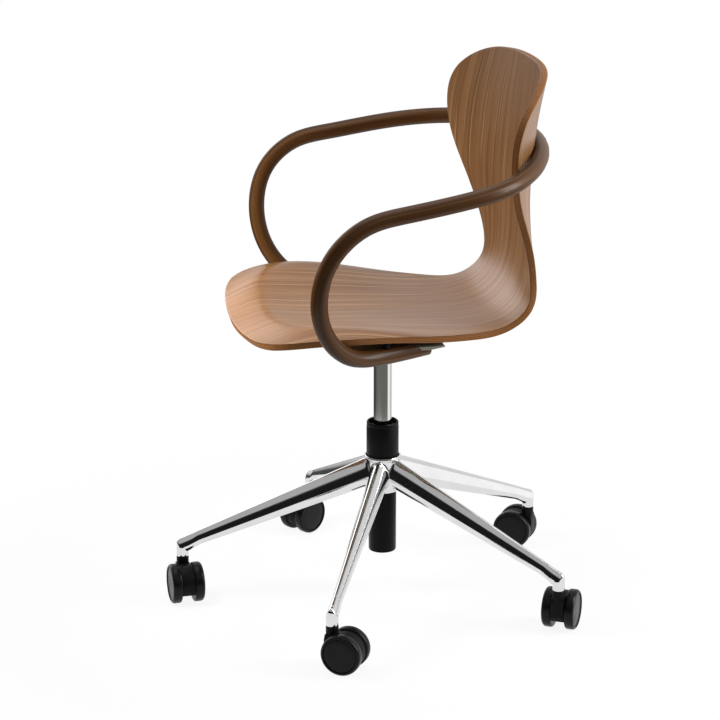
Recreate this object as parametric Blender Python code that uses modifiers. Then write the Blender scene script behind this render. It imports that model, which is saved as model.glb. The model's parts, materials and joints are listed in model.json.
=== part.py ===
"""Five-star swivel chair with a plywood shell, one bent-wood arm loop and twin-wheel casters.

Metres, +Z up, and the sitter faces -Y. The chair is drawn about its column and then moved, so that
the origin ends on the floor under the middle of the space that it stands in.
"""
import math
from collections import namedtuple

import bmesh
import bpy
from mathutils import Matrix, Vector

# Clearance between pieces that touch or run in one another
GAP = 0.0003
MERGE = 0.00005
FINE_STEPS = 16
WHEEL_STEPS = 20
STEPS = 12
COARSE_STEPS = 8
HUB_STEPS = 20
SHARP_ANGLE = math.radians(38)
# Turns an outline drawn in XY so that it lies in YZ
YZ_PLANE = Matrix(((0, 0, 1, 0), (1, 0, 0, 0), (0, 1, 0, 0), (0, 0, 0, 1)))

# Column, from the foot up
TUBE_BOTTOM_Z = 0.0710
TUBE_FLOOR = 0.003
TUBE_UPPER_R = 0.0235
TUBE_LOWER_R = TUBE_UPPER_R - 0.0020
TUBE_SEAT_R = TUBE_UPPER_R - 0.0025
TUBE_BORE_R = TUBE_UPPER_R - 0.0045
TUBE_TOP_Z = 0.262
TUBE_SEAT_Z = 0.198
TUBE_FOOT_EDGE = 0.003
ROD_R = 0.005
COLLAR_R = TUBE_UPPER_R + 0.0015
COLLAR_TOP_Z = 0.283
COLLAR_EDGE = 0.0012
COLLAR_GROOVE_Z = 0.2755
COLLAR_GROOVE = 0.0010
COLLAR_LIP_R = COLLAR_R - 0.0032
BUSH_FLANGE_R = TUBE_SEAT_R + 0.0002
BUSH_TOP_Z = 0.2765
CYLINDER_R = 0.014
CYLINDER_BOTTOM_Z = 0.150
CYLINDER_TOP_Z = 0.426
CYLINDER_BORE_R = 0.011
CYLINDER_END = 0.006
CYLINDER_BORE_TOP_Z = 0.400
CYLINDER_EDGE = 0.001
PISTON_Z = 0.215
PISTON_HEIGHT = 0.012
WASHER_R = 0.015
WASHER_T = 0.0015
BEARING_T = 0.003
BEARING_R = 0.0135
SHOULDER_R = 0.0075
SHOULDER_T = 0.004
CLIP_T = 0.0012
CLIP_R = 0.0085
CLIP_GROOVE_R = 0.0040
ROD_FOOT_Z = 0.0665
BUTTON_R = 0.004
BUTTON_PROUD = 0.005
BUTTON_LENGTH = 0.012
BUTTON_WELL = 0.011
BUTTON_TOP_Z = CYLINDER_TOP_Z + BUTTON_PROUD

# Star base
ARM_COUNT = 5
ARM_YAW = math.radians(46.5)
STEM_RADIUS = 0.313
HUB_BOTTOM_Z = 0.171
HUB_TOP_Z = 0.229
HUB_R = TUBE_UPPER_R + 0.0030
HUB_RIM_R = COLLAR_R + 0.0035
HUB_FOOT_R = TUBE_LOWER_R + 0.0035
HUB_COLLAR_SEAT_Z = 0.224
SOCKET_R = 0.0095
SOCKET_BOTTOM_Z = 0.068
SOCKET_TOP_Z = 0.0845
SOCKET_BORE_TOP_Z = 0.0885
ARM_START_R = HUB_R - 0.0085
ARM_START_Z = 0.2030
# Half of the arm's section at the hub, ridge to underside, as (half width, height)
ARM_SECTION = ((0.0022, 0.0218), (0.0052, 0.0200), (0.0142, 0.0025), (0.0168, -0.0040),
               (0.0160, -0.0105), (0.0092, -0.0202), (0.0060, -0.0218))
# Arm's stations before the stem, as (distance to the stem, height, size of the section)
ARM_STATIONS = ((0.026, 0.0979, 0.490), (0.009, 0.0893, 0.560), (-0.012, 0.0812, 0.560))
# Arm's end is rounded over the socket: top of the dome and its rounding
ARM_DOME_Z = 0.1000
ARM_DOME_R = 0.0085
DOME_ARC = tuple(math.radians(a) for a in (90, 67.5, 45, 22.5, 0))

# Casters
WHEEL_R = 0.031
WHEEL_T = 0.0148
WHEEL_GAP = 0.0003
WHEEL_DISC_R = 0.0252
WHEEL_RIM_R = 0.0262
WHEEL_SHOULDER_R = 0.0282
WHEEL_DISC_INSET = 0.0012
WHEEL_EDGE = 0.0032
WHEEL_INNER_EDGE = 0.002
CASTER_TRAIL = 0.021
CASTER_BODY_W = 0.020
NECK_R = 0.0095
STEM_R = 0.0055
STEM_BOTTOM_Z = 0.040
AXLE_R = 0.003
AXLE_DEPTH = 0.0095
# Side outline of the caster body, as (distance ahead of the stem, height), up to its round hood
CASTER_OUTLINE = ((0.0080, 0.0560), (0.0095, 0.0480), (0.0095, 0.0260), (0.0060, 0.0185),
                  (-0.0050, 0.0180), (-0.0060, 0.0200), (-0.0110, 0.0200), (-0.0120, 0.0180))
HOOD_R = 0.0285
HOOD_ARC = tuple(math.radians(a) for a in (207, 184, 161, 138, 115, 92, 69))
# Direction of each caster's trail in the photographed pose, arm by arm
CASTER_YAWS = tuple(math.radians(a) for a in (150, 238, 307, 4, 57))

# Seat carrier under the shell
PAN_TOP_Z = 0.4465
PAN_T = 0.004
WING_TOP_Z = PAN_TOP_Z + 0.0080
WING_T = 0.005
PAN_HALF_X = 0.118
JOGGLE_X = 0.142
WING_HALF_X = 0.182
CARRIER_FRONT_Y = -0.088
CARRIER_BACK_Y = 0.055
WING_TAPER = 0.021
WING_TIP_T = 0.0015
TROUGH_BOTTOM_Z = PAN_TOP_Z - 0.0345
TROUGH_HALF_X = 0.052
TROUGH_FRONT_Y = -0.070
TROUGH_BACK_Y = 0.062
TROUGH_SLOPE = 0.030
TROUGH_WALL = 0.003
BOSS_R = 0.020
BOSS_BOTTOM_Z = TROUGH_BOTTOM_Z - 0.0160
BOSS_TOP_Z = TROUGH_BOTTOM_Z + 0.0105
LUG_T = 0.003
LUG_W = 0.010
LUG_TOP_Z = PAN_TOP_Z - 0.0060

# Release lever
LEVER_R = 0.004
PIVOT_X = -0.034
PIVOT_Z = BUTTON_TOP_Z + GAP + LEVER_R
PIN_R = 0.0015
# Lever's route as (x, y, height over the pivot), from the button to the grip
LEVER_ROUTE = ((0.006, 0.0, 0.0), (PIVOT_X, 0.0, 0.0), (-0.060, 0.0, -0.0003),
               (-0.085, 0.014, -0.0023), (-0.110, 0.040, -0.0043), (-0.135, 0.068, -0.0058),
               (-0.160, 0.082, -0.0063), (-0.190, 0.086, -0.0063), (-0.236, 0.087, -0.0063))
GRIP_R = 0.0072
GRIP_LENGTH = 0.050
GRIP_INSIDE = 0.024

# Screws
BOLT_R = 0.003
HEAD_R = 0.0052
HEAD_T = 0.0036
# Seat bolts, front and back, as (x, y, height of the shank's end in the shell)
SEAT_BOLTS = ((0.080, -0.060, 0.4630), (0.080, 0.028, 0.4590))
PAD_R = 0.012
BACK_BOLT_X = 0.045
BACK_BOLT_REACH = 0.0045

# Arm loop: the rod's route on the sitter's left, from the end under the seat to the back
LOOP_R = 0.0125
LOOP_FLAT_Z = WING_TOP_Z - WING_T - GAP
LOOP_FLAT_FRONT_Y = -0.060
LOOP_FLAT_OUTER_X = WING_HALF_X + 0.043
LOOP_FLAT_RAMP = 0.028
LOOP_HALF = ((WING_HALF_X - 0.017, 0.032, 0.450), (WING_HALF_X + 0.013, -0.054, 0.444),
             (WING_HALF_X + 0.049, -0.101, 0.453), (0.253, -0.142, 0.502), (0.272, -0.154, 0.563),
             (0.287, -0.138, 0.628), (0.286, -0.086, 0.673), (0.280, -0.030, 0.680),
             (0.281, 0.059, 0.695), (0.254, 0.145, 0.707), (0.146, 0.2125, 0.722),
             (0.0, 0.238, 0.726))
LOOP_RESOLUTION = 3
LOOP_SIDES_LEVEL = 3
ARM_BOLTS = ((WING_HALF_X - 0.0140, 0.020), (WING_HALF_X - 0.0075, -0.004))
ARM_HEAD_DEPTH = 0.0065
SPACER_R = 0.007
SPACER_CLEARANCE = 0.001
SPACER_XY = (WING_HALF_X + SPACER_R + SPACER_CLEARANCE, -0.0355)
SPACER_RAW_TOP_Z = 0.480

# Plywood shell: upper and front face, station by station from the seat's nose to the top
SHELL_T = 0.010
SHELL_LEVELS = 2
Station = namedtuple("Station", "side_x side_y side_z centre_y centre_z crest", defaults=(None,))
SHELL_STATIONS = (
    Station(0.195, -0.2135, 0.4735, -0.237, 0.458, (0.102, -0.2295, 0.460)),
    Station(0.223, -0.1480, 0.4855, -0.185, 0.474, (0.160, -0.1790, 0.4925)),
    Station(0.224, -0.0795, 0.4850, -0.133, 0.467, (0.187, -0.1100, 0.4965)),
    Station(0.205, -0.0165, 0.4790, -0.075, 0.465, (0.184, -0.0430, 0.4895)),
    Station(0.187, 0.0440, 0.4705, -0.017, 0.463, (0.160, 0.0160, 0.4735)),
    Station(0.170, 0.1000, 0.4665, 0.042, 0.461),
    Station(0.151, 0.1510, 0.4640, 0.100, 0.459),
    Station(0.151, 0.1945, 0.4930, 0.158, 0.463),
    Station(0.138, 0.1950, 0.5350, 0.200, 0.503),
    Station(0.155, 0.1845, 0.5850, 0.208, 0.572),
    Station(0.162, 0.1645, 0.6405, 0.207, 0.640),
    Station(0.195, 0.1495, 0.6875, 0.211, 0.708),
    Station(0.2085, 0.1430, 0.7445, 0.219, 0.777),
    Station(0.2115, 0.1555, 0.7995, 0.236, 0.8415, (0.141, 0.2115, 0.845)),
)
# How sharply the seat folds over its lip: across the front, and back along each side
FRONT_FOLD = 0.36
SIDE_FOLDS = (0.36, 0.33, 0.22)
# Cage height beside the centre that gives a parabola across the shell, as a share of its depth
DISH_MID = 1 / 6

# Colour, metallic value and roughness of each material
LOOKS = {
    "polished_aluminium": ((0.80, 0.80, 0.79), 1.0, 0.12),
    "satin_steel": ((0.58, 0.58, 0.56), 1.0, 0.32),
    "zinc_steel": ((0.50, 0.50, 0.48), 1.0, 0.40),
    "grey_steel": ((0.22, 0.22, 0.19), 0.6, 0.45),
    "black_paint": ((0.012, 0.012, 0.012), 0.0, 0.35),
    "black_plastic": ((0.014, 0.014, 0.014), 0.0, 0.42),
    "wheel_plastic": ((0.016, 0.016, 0.017), 0.0, 0.48),
    "rubber": ((0.010, 0.010, 0.010), 0.0, 0.70),
    "walnut_veneer": ((0.30, 0.15, 0.08), 0.0, 0.38),
    "bent_wood": ((0.13, 0.06, 0.03), 0.0, 0.36),
}


def collection(name):
    made = bpy.data.collections.new(name)
    bpy.context.scene.collection.children.link(made)
    return made


def material(name):
    colour, metallic, roughness = LOOKS[name]
    made = bpy.data.materials.get(name)
    if made is None:
        made = bpy.data.materials.new(name)
        made.use_nodes = True
        shader = made.node_tree.nodes["Principled BSDF"]
        shader.inputs["Base Color"].default_value = (*colour, 1.0)
        shader.inputs["Metallic"].default_value = metallic
        shader.inputs["Roughness"].default_value = roughness
    return made


def place(name, mesh, look, location=(0, 0, 0), yaw=0.0, group=None):
    """Add a mesh as a named object at a place."""
    made = bpy.data.objects.new(name, mesh)
    made.location = location
    made.rotation_euler = (0, 0, yaw)
    if look is not None and not mesh.materials:
        mesh.materials.append(material(look))
    (group or PARTS).objects.link(made)
    return made


def as_cutter(thing):
    thing.hide_render = True
    thing.display_type = "WIRE"
    return thing


def smooth(mesh):
    mesh.shade_smooth()
    mesh.set_sharp_from_angle(angle=SHARP_ANGLE)


def evaluated(thing):
    """Copy of an object's shape with its modifiers applied, welded, in its own frame."""
    bpy.context.view_layer.update()
    mesh = bpy.data.meshes.new_from_object(thing.evaluated_get(bpy.context.evaluated_depsgraph_get()))
    work = bmesh.new()
    work.from_mesh(mesh)
    bmesh.ops.remove_doubles(work, verts=work.verts, dist=MERGE)
    bmesh.ops.recalc_face_normals(work, faces=work.faces)
    work.to_mesh(mesh)
    work.free()
    return mesh


def baked(thing):
    """Replace an object's mesh by its evaluated shape and drop its modifiers."""
    mesh = evaluated(thing)
    thing.modifiers.clear()
    thing.data = mesh
    smooth(mesh)
    return thing


def boolean(thing, other, operation):
    step = thing.modifiers.new(operation.lower(), "BOOLEAN")
    step.operation = operation
    step.solver = "EXACT"
    step.object = other
    return step


def turned_mesh(name, profile, steps):
    """Body of revolution about Z from a profile of (radius, height), outer side first."""
    mesh = bpy.data.meshes.new(name)
    mesh.from_pydata([(r, 0, z) for r, z in profile], [(i, i + 1) for i in range(len(profile) - 1)], [])
    draft = place(name + "_profile", mesh, None, group=CUTTERS)
    spin = draft.modifiers.new("spin", "SCREW")
    spin.steps = steps
    spin.render_steps = steps
    spin.use_merge_vertices = True
    spin.merge_threshold = MERGE
    mesh = evaluated(draft)
    mesh.name = name
    mesh.materials.clear()
    bpy.data.objects.remove(draft)
    smooth(mesh)
    return mesh


def ring_profile(inner, outer, bottom, top):
    return ((outer, top), (outer, bottom), (inner, bottom), (inner, top), (outer, top))


def turned(name, profile, look, steps=STEPS, location=(0, 0, 0)):
    return place(name, turned_mesh(name, profile, steps), look, location)


def cylinder_mesh(name, radius, bottom, top, steps=COARSE_STEPS):
    work = bmesh.new()
    bmesh.ops.create_cone(work, cap_ends=True, segments=steps, radius1=radius, radius2=radius,
                          depth=top - bottom, matrix=Matrix.Translation((0, 0, (bottom + top) / 2)))
    mesh = bpy.data.meshes.new(name)
    work.to_mesh(mesh)
    work.free()
    smooth(mesh)
    return mesh


def box_mesh(name, low, high):
    work = bmesh.new()
    size = Vector(high) - Vector(low)
    middle = (Vector(high) + Vector(low)) / 2
    bmesh.ops.create_cube(work, size=1.0, matrix=Matrix.Translation(middle) @ Matrix.Diagonal((*size, 1)))
    mesh = bpy.data.meshes.new(name)
    work.to_mesh(mesh)
    work.free()
    return mesh


def hole_cutter(name, radius, bottom, top, location, steps=COARSE_STEPS):
    """Round cutter whose flat facets lie at the radius, so that a pin clears them at any angle."""
    mesh = cylinder_mesh(name, radius / math.cos(math.pi / steps), bottom, top, steps)
    return as_cutter(place(name, mesh, None, location, group=CUTTERS))


def outline_mesh(name, points, thickness):
    """Flat outline in XY, extruded evenly about Z=0."""
    curve = bpy.data.curves.new(name, "CURVE")
    curve.dimensions = "2D"
    curve.fill_mode = "BOTH"
    curve.extrude = thickness / 2
    line = curve.splines.new("POLY")
    line.points.add(len(points) - 1)
    for slot, (x, y) in zip(line.points, points):
        slot.co = (x, y, 0, 1)
    line.use_cyclic_u = True
    draft = bpy.data.objects.new(name, curve)
    CUTTERS.objects.link(draft)
    mesh = evaluated(draft)
    bpy.data.objects.remove(draft)
    return mesh


def swept_mesh(name, points, radius, resolution, smooth_route=None):
    """Round rod along a route, with filled caps. A smooth route is a NURBS through a cage."""
    curve = bpy.data.curves.new(name, "CURVE")
    curve.dimensions = "3D"
    curve.bevel_depth = radius
    curve.bevel_resolution = resolution
    curve.use_fill_caps = True
    curve.twist_mode = "MINIMUM"
    line = curve.splines.new("NURBS" if smooth_route else "POLY")
    line.points.add(len(points) - 1)
    for slot, point in zip(line.points, points):
        slot.co = (*point, 1)
    if smooth_route:
        line.order_u = 4
        line.use_endpoint_u = True
        line.resolution_u = smooth_route
        curve.resolution_u = smooth_route
    draft = bpy.data.objects.new(name, curve)
    CUTTERS.objects.link(draft)
    mesh = evaluated(draft)
    bpy.data.objects.remove(draft)
    smooth(mesh)
    return mesh


def rounded(points, share=0.25):
    """Cut the corners of a route so that it bends in two steps at each inner point."""
    route = [Vector(points[0])]
    for before, here, after in zip(points, points[1:], points[2:]):
        route.append(Vector(here).lerp(Vector(before), share))
        route.append(Vector(here).lerp(Vector(after), share))
    route.append(Vector(points[-1]))
    return route


def build_column():
    turned("column_tube", (
        (TUBE_UPPER_R, TUBE_TOP_Z), (TUBE_UPPER_R, HUB_COLLAR_SEAT_Z),
        (TUBE_LOWER_R, HUB_BOTTOM_Z), (TUBE_LOWER_R, TUBE_BOTTOM_Z + TUBE_FOOT_EDGE),
        (TUBE_LOWER_R - TUBE_FOOT_EDGE, TUBE_BOTTOM_Z), (ROD_R + GAP, TUBE_BOTTOM_Z),
        (ROD_R + GAP, TUBE_BOTTOM_Z + TUBE_FLOOR), (TUBE_BORE_R, TUBE_BOTTOM_Z + TUBE_FLOOR),
        (TUBE_BORE_R, TUBE_SEAT_Z), (TUBE_SEAT_R, TUBE_SEAT_Z), (TUBE_SEAT_R, TUBE_TOP_Z),
        (TUBE_UPPER_R, TUBE_TOP_Z)), "black_paint", FINE_STEPS)
    inner = TUBE_UPPER_R + GAP
    turned("column_collar", (
        (COLLAR_R - COLLAR_EDGE, COLLAR_TOP_Z), (COLLAR_R, COLLAR_TOP_Z - COLLAR_EDGE),
        (COLLAR_R, COLLAR_GROOVE_Z + COLLAR_GROOVE),
        (COLLAR_R - COLLAR_GROOVE / 2, COLLAR_GROOVE_Z + COLLAR_GROOVE / 2),
        (COLLAR_R, COLLAR_GROOVE_Z), (COLLAR_R, HUB_COLLAR_SEAT_Z + GAP),
        (inner, HUB_COLLAR_SEAT_Z + GAP), (inner, TUBE_TOP_Z + 2 * GAP),
        (COLLAR_LIP_R, TUBE_TOP_Z + 2 * GAP), (COLLAR_LIP_R, COLLAR_TOP_Z - COLLAR_EDGE),
        (COLLAR_LIP_R + COLLAR_EDGE, COLLAR_TOP_Z), (COLLAR_R - COLLAR_EDGE, COLLAR_TOP_Z)),
        "black_plastic", FINE_STEPS)
    seat_r = TUBE_SEAT_R - GAP
    bush_bore = CYLINDER_R + GAP
    turned("guide_bush", (
        (BUSH_FLANGE_R, BUSH_TOP_Z), (BUSH_FLANGE_R, TUBE_TOP_Z + GAP), (seat_r, TUBE_TOP_Z + GAP),
        (seat_r, TUBE_SEAT_Z + GAP), (bush_bore, TUBE_SEAT_Z + GAP), (bush_bore, BUSH_TOP_Z),
        (BUSH_FLANGE_R, BUSH_TOP_Z)), "black_plastic", FINE_STEPS)

    washer_z = TUBE_BOTTOM_Z + TUBE_FLOOR + GAP
    bearing_z = washer_z + WASHER_T + GAP
    upper_z = bearing_z + BEARING_T + GAP
    shoulder_z = upper_z + WASHER_T + GAP
    bore = ROD_R + GAP
    turned("lower_washer", ring_profile(bore, WASHER_R, washer_z, washer_z + WASHER_T), "zinc_steel")
    turned("thrust_bearing", ring_profile(bore, BEARING_R, bearing_z, bearing_z + BEARING_T), "zinc_steel")
    turned("upper_washer", ring_profile(bore, WASHER_R, upper_z, upper_z + WASHER_T), "zinc_steel")

    groove_top = TUBE_BOTTOM_Z - 2 * GAP
    groove_bottom = groove_top - CLIP_T - 2 * GAP
    rod_top = PISTON_Z + PISTON_HEIGHT + SHOULDER_T
    spigot_r = ROD_R - 2 * GAP
    turned("piston_rod", (
        (0, rod_top), (spigot_r, rod_top), (spigot_r, PISTON_Z - GAP), (ROD_R, PISTON_Z - GAP),
        (ROD_R, shoulder_z + SHOULDER_T), (SHOULDER_R, shoulder_z + SHOULDER_T),
        (SHOULDER_R, shoulder_z), (ROD_R, shoulder_z), (ROD_R, groove_top),
        (CLIP_GROOVE_R, groove_top), (CLIP_GROOVE_R, groove_bottom), (ROD_R, groove_bottom),
        (ROD_R, ROD_FOOT_Z), (0, ROD_FOOT_Z)), "satin_steel", COARSE_STEPS)
    turned("retaining_clip", ring_profile(CLIP_GROOVE_R + GAP, CLIP_R, groove_bottom + GAP,
                                          groove_bottom + GAP + CLIP_T), "zinc_steel", COARSE_STEPS)
    turned("piston", ring_profile(spigot_r + GAP, CYLINDER_BORE_R - 2 * GAP, PISTON_Z,
                                  PISTON_Z + PISTON_HEIGHT), "rubber", COARSE_STEPS)
    well = BUTTON_R + GAP
    well_z = CYLINDER_TOP_Z - BUTTON_WELL
    turned("gas_cylinder", (
        (0, well_z), (well, well_z), (well, CYLINDER_TOP_Z),
        (CYLINDER_R - CYLINDER_EDGE, CYLINDER_TOP_Z),
        (CYLINDER_R, CYLINDER_TOP_Z - CYLINDER_EDGE), (CYLINDER_R, CYLINDER_BOTTOM_Z + CYLINDER_EDGE),
        (CYLINDER_R - CYLINDER_EDGE, CYLINDER_BOTTOM_Z), (bore, CYLINDER_BOTTOM_Z),
        (bore, CYLINDER_BOTTOM_Z + CYLINDER_END), (CYLINDER_BORE_R, CYLINDER_BOTTOM_Z + CYLINDER_END),
        (CYLINDER_BORE_R, CYLINDER_BORE_TOP_Z), (0, CYLINDER_BORE_TOP_Z)), "satin_steel", FINE_STEPS)
    button_z = BUTTON_TOP_Z - BUTTON_LENGTH
    turned("release_button", (
        (0, BUTTON_TOP_Z), (BUTTON_R, BUTTON_TOP_Z), (BUTTON_R, button_z), (0, button_z)),
        "zinc_steel", COARSE_STEPS)


def arm_yaw(index):
    return ARM_YAW + index * math.tau / ARM_COUNT


def stem_place(index):
    yaw = arm_yaw(index)
    return (STEM_RADIUS * math.cos(yaw), STEM_RADIUS * math.sin(yaw), 0)


def arm_mesh():
    """One tapering arm along +X: a ridged section swept from the hub to the socket."""
    half = list(ARM_SECTION)
    section = [(-x, y) for x, y in reversed(half)] + half
    profile = bpy.data.curves.new("arm_section", "CURVE")
    profile.dimensions = "2D"
    ring = profile.splines.new("POLY")
    ring.points.add(len(section) - 1)
    for slot, (x, y) in zip(ring.points, section):
        slot.co = (x, y, 0, 1)
    ring.use_cyclic_u = True
    profile_draft = bpy.data.objects.new("arm_section", profile)
    CUTTERS.objects.link(profile_draft)

    route = bpy.data.curves.new("arm_route", "CURVE")
    route.dimensions = "3D"
    route.bevel_mode = "OBJECT"
    route.bevel_object = profile_draft
    route.use_fill_caps = True
    route.twist_mode = "Z_UP"
    line = route.splines.new("POLY")
    line.points.add(len(ARM_STATIONS))
    stations = [(ARM_START_R, ARM_START_Z, 1)]
    stations += [(STEM_RADIUS - before, height, scale) for before, height, scale in ARM_STATIONS]
    for slot, (reach, height, scale) in zip(line.points, stations):
        slot.co = (reach, 0, height, 1)
        slot.radius = scale
    draft = bpy.data.objects.new("arm_route", route)
    CUTTERS.objects.link(draft)
    mesh = evaluated(draft)
    bpy.data.objects.remove(draft)
    bpy.data.objects.remove(profile_draft)
    return mesh


def arm_end_mesh():
    """Upright round post with a rounded top that bounds the arm beyond the stem."""
    post_r = SOCKET_R - GAP
    flat_r = post_r - ARM_DOME_R
    dome = [(flat_r + ARM_DOME_R * math.cos(a), ARM_DOME_Z + ARM_DOME_R * (math.sin(a) - 1))
            for a in DOME_ARC]
    return turned_mesh("arm_end", [(0, ARM_DOME_Z), *dome, (post_r, 0), (0, 0)], STEPS)


def build_base():
    """Hub ring, five arms and five sockets. The hub's facets repeat with the arms."""
    bore = TUBE_UPPER_R + GAP
    collar_bore = COLLAR_R + GAP
    base = turned("star_base", (
        (collar_bore, HUB_TOP_Z), (HUB_RIM_R - COLLAR_EDGE, HUB_TOP_Z),
        (HUB_RIM_R, HUB_TOP_Z - COLLAR_EDGE),
        (HUB_RIM_R, HUB_COLLAR_SEAT_Z), (HUB_R, HUB_COLLAR_SEAT_Z - COLLAR_EDGE),
        (HUB_R, HUB_BOTTOM_Z + 3 * COLLAR_EDGE), (HUB_FOOT_R, HUB_BOTTOM_Z),
        (TUBE_LOWER_R + 2 * GAP, HUB_BOTTOM_Z), (bore, HUB_COLLAR_SEAT_Z),
        (collar_bore, HUB_COLLAR_SEAT_Z),
        (collar_bore, HUB_TOP_Z)), "polished_aluminium", HUB_STEPS)
    base.rotation_euler = (0, 0, ARM_YAW)
    root = place("arm_root", arm_mesh(), None, group=CUTTERS)
    inside = hole_cutter("arm_root_bore", (bore + HUB_R) / 2, 0, HUB_TOP_Z + HUB_R, (0, 0, 0), HUB_STEPS)
    boolean(root, inside, "DIFFERENCE")
    end = place("arm_end", arm_end_mesh(), None, (STEM_RADIUS, 0, 0), group=CUTTERS)
    whole = box_mesh("arm_body", (0, -HUB_R, 0), (STEM_RADIUS, HUB_R, HUB_TOP_Z + HUB_R))
    boolean(end, as_cutter(place("arm_body", whole, None, group=CUTTERS)), "UNION")
    boolean(root, as_cutter(baked(end)), "INTERSECT")
    arm = evaluated(root)
    bpy.data.objects.remove(root)
    socket = cylinder_mesh("socket", SOCKET_R, SOCKET_BOTTOM_Z, SOCKET_TOP_Z, STEPS)
    for index in range(ARM_COUNT):
        arm_piece = place(f"arm_{index + 1}", arm, None, yaw=arm_yaw(index), group=CUTTERS)
        socket_piece = place(f"socket_{index + 1}", socket, None, stem_place(index), arm_yaw(index),
                             group=CUTTERS)
        boolean(base, as_cutter(arm_piece), "UNION")
        boolean(base, as_cutter(socket_piece), "UNION")
    for index in range(ARM_COUNT):
        boolean(base, hole_cutter(f"stem_bore_{index + 1}", STEM_R + GAP, SOCKET_BOTTOM_Z - GAP,
                                  SOCKET_BORE_TOP_Z, stem_place(index)), "DIFFERENCE")
    baked(base)


def caster_body_mesh():
    """Side outline between the wheels, joined to a round neck, bored for the stem and the axle."""
    hood = [(HOOD_R * math.cos(a) - CASTER_TRAIL, HOOD_R * math.sin(a) + WHEEL_R) for a in HOOD_ARC]
    outline = outline_mesh("caster_outline", [*CASTER_OUTLINE, *hood], CASTER_BODY_W)
    outline.transform(Matrix.Rotation(math.pi / 2, 4, "X"))
    body = place("caster_draft", outline, None, group=CUTTERS)
    neck = place("caster_neck", cylinder_mesh("caster_neck", NECK_R, CASTER_OUTLINE[1][1],
                                              SOCKET_BOTTOM_Z - GAP, STEPS), None, group=CUTTERS)
    stem_bore = hole_cutter("caster_stem_bore", STEM_R + GAP, STEM_BOTTOM_Z - GAP, SOCKET_BOTTOM_Z,
                            (0, 0, 0))
    axle_bore = hole_cutter("caster_axle_bore", AXLE_R + GAP, -CASTER_BODY_W, CASTER_BODY_W,
                            (-CASTER_TRAIL, 0, WHEEL_R))
    axle_bore.rotation_euler = (math.pi / 2, 0, 0)
    boolean(body, neck, "UNION")
    boolean(body, stem_bore, "DIFFERENCE")
    boolean(body, axle_bore, "DIFFERENCE")
    mesh = evaluated(body)
    mesh.name = "caster_body"
    mesh.materials.clear()
    mesh.materials.append(material("black_plastic"))
    smooth(mesh)
    for draft in (body, neck, stem_bore, axle_bore):
        bpy.data.objects.remove(draft)
    return mesh


def wheel_mesh():
    """Wheel turned about its own axle, outer disc towards +Z."""
    bore = AXLE_R + GAP
    depth = AXLE_DEPTH + 2 * GAP
    return turned_mesh("wheel", (
        (0, WHEEL_T - WHEEL_DISC_INSET), (WHEEL_DISC_R, WHEEL_T - WHEEL_DISC_INSET),
        (WHEEL_RIM_R, WHEEL_T), (WHEEL_SHOULDER_R, WHEEL_T), (WHEEL_R, WHEEL_T - WHEEL_EDGE),
        (WHEEL_R, WHEEL_INNER_EDGE), (WHEEL_R - WHEEL_INNER_EDGE, 0), (bore, 0), (bore, depth),
        (0, depth)), WHEEL_STEPS)


def build_casters():
    body = caster_body_mesh()
    stem = cylinder_mesh("stem", STEM_R, STEM_BOTTOM_Z, SOCKET_BORE_TOP_Z - GAP)
    stem.materials.append(material("zinc_steel"))
    half = CASTER_BODY_W / 2 + AXLE_DEPTH
    axle = cylinder_mesh("axle", AXLE_R, -half, half)
    axle.materials.append(material("zinc_steel"))
    wheel = wheel_mesh()
    wheel.materials.append(material("wheel_plastic"))
    for index, yaw in enumerate(CASTER_YAWS):
        number = index + 1
        swivel = bpy.data.objects.new(f"caster_{number}_swivel", None)
        swivel.location = stem_place(index)
        # The body's own outline trails towards -X
        swivel.rotation_euler = (0, 0, yaw + math.pi)
        PARTS.objects.link(swivel)
        pieces = [place(f"caster_{number}_body", body, None), place(f"caster_{number}_stem", stem, None)]
        axle_piece = place(f"caster_{number}_axle", axle, None, (-CASTER_TRAIL, 0, WHEEL_R))
        axle_piece.rotation_euler = (math.pi / 2, 0, 0)
        pieces.append(axle_piece)
        for side, letter in ((1, "a"), (-1, "b")):
            offset = side * (CASTER_BODY_W / 2 + WHEEL_GAP)
            disc = place(f"caster_{number}_wheel_{letter}", wheel, None, (-CASTER_TRAIL, offset, WHEEL_R))
            disc.rotation_euler = (-side * math.pi / 2, 0, 0)
            pieces.append(disc)
        for piece in pieces:
            piece.parent = swivel


def shell_cage(name):
    """Shell's control cage on the sitter's left: rows across, from the nose to the top."""
    last = len(SHELL_STATIONS) - 1
    rows = []
    for index, station in enumerate(SHELL_STATIONS):
        side = Vector((station.side_x, station.side_y, station.side_z))
        centre = Vector((0, station.centre_y, station.centre_z))
        depth = side - centre
        if station.crest:
            mid = Vector(station.crest)
        else:
            spread = Vector((0, depth.y, depth.z))
            mid = centre + spread * DISH_MID + Vector((depth.x / 2, 0, 0))
        if index not in (0, last):
            # The smoothed surface passes a third of the way from this point to the one beside it
            centre = (centre * 3 - Vector((0, mid.y, mid.z))) / 2
        rows.append((centre, mid, side))
    width = len(rows[0])
    faces = []
    for row in range(last):
        for column in range(width - 1):
            corner = row * width + column
            faces.append((corner, corner + 1, corner + 1 + width, corner + width))
    mesh = bpy.data.meshes.new(name)
    mesh.from_pydata([point for row in rows for point in row], [], faces)
    folds = {frozenset((width, width + 1)): FRONT_FOLD}
    for row, fold in enumerate(SIDE_FOLDS, 1):
        folds[frozenset((row * width + 1, (row + 1) * width + 1))] = fold
    layer = mesh.attributes.new("crease_edge", "FLOAT", "EDGE")
    for edge in mesh.edges:
        layer.data[edge.index].value = folds.get(frozenset(edge.vertices), 0.0)
    return mesh


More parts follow.
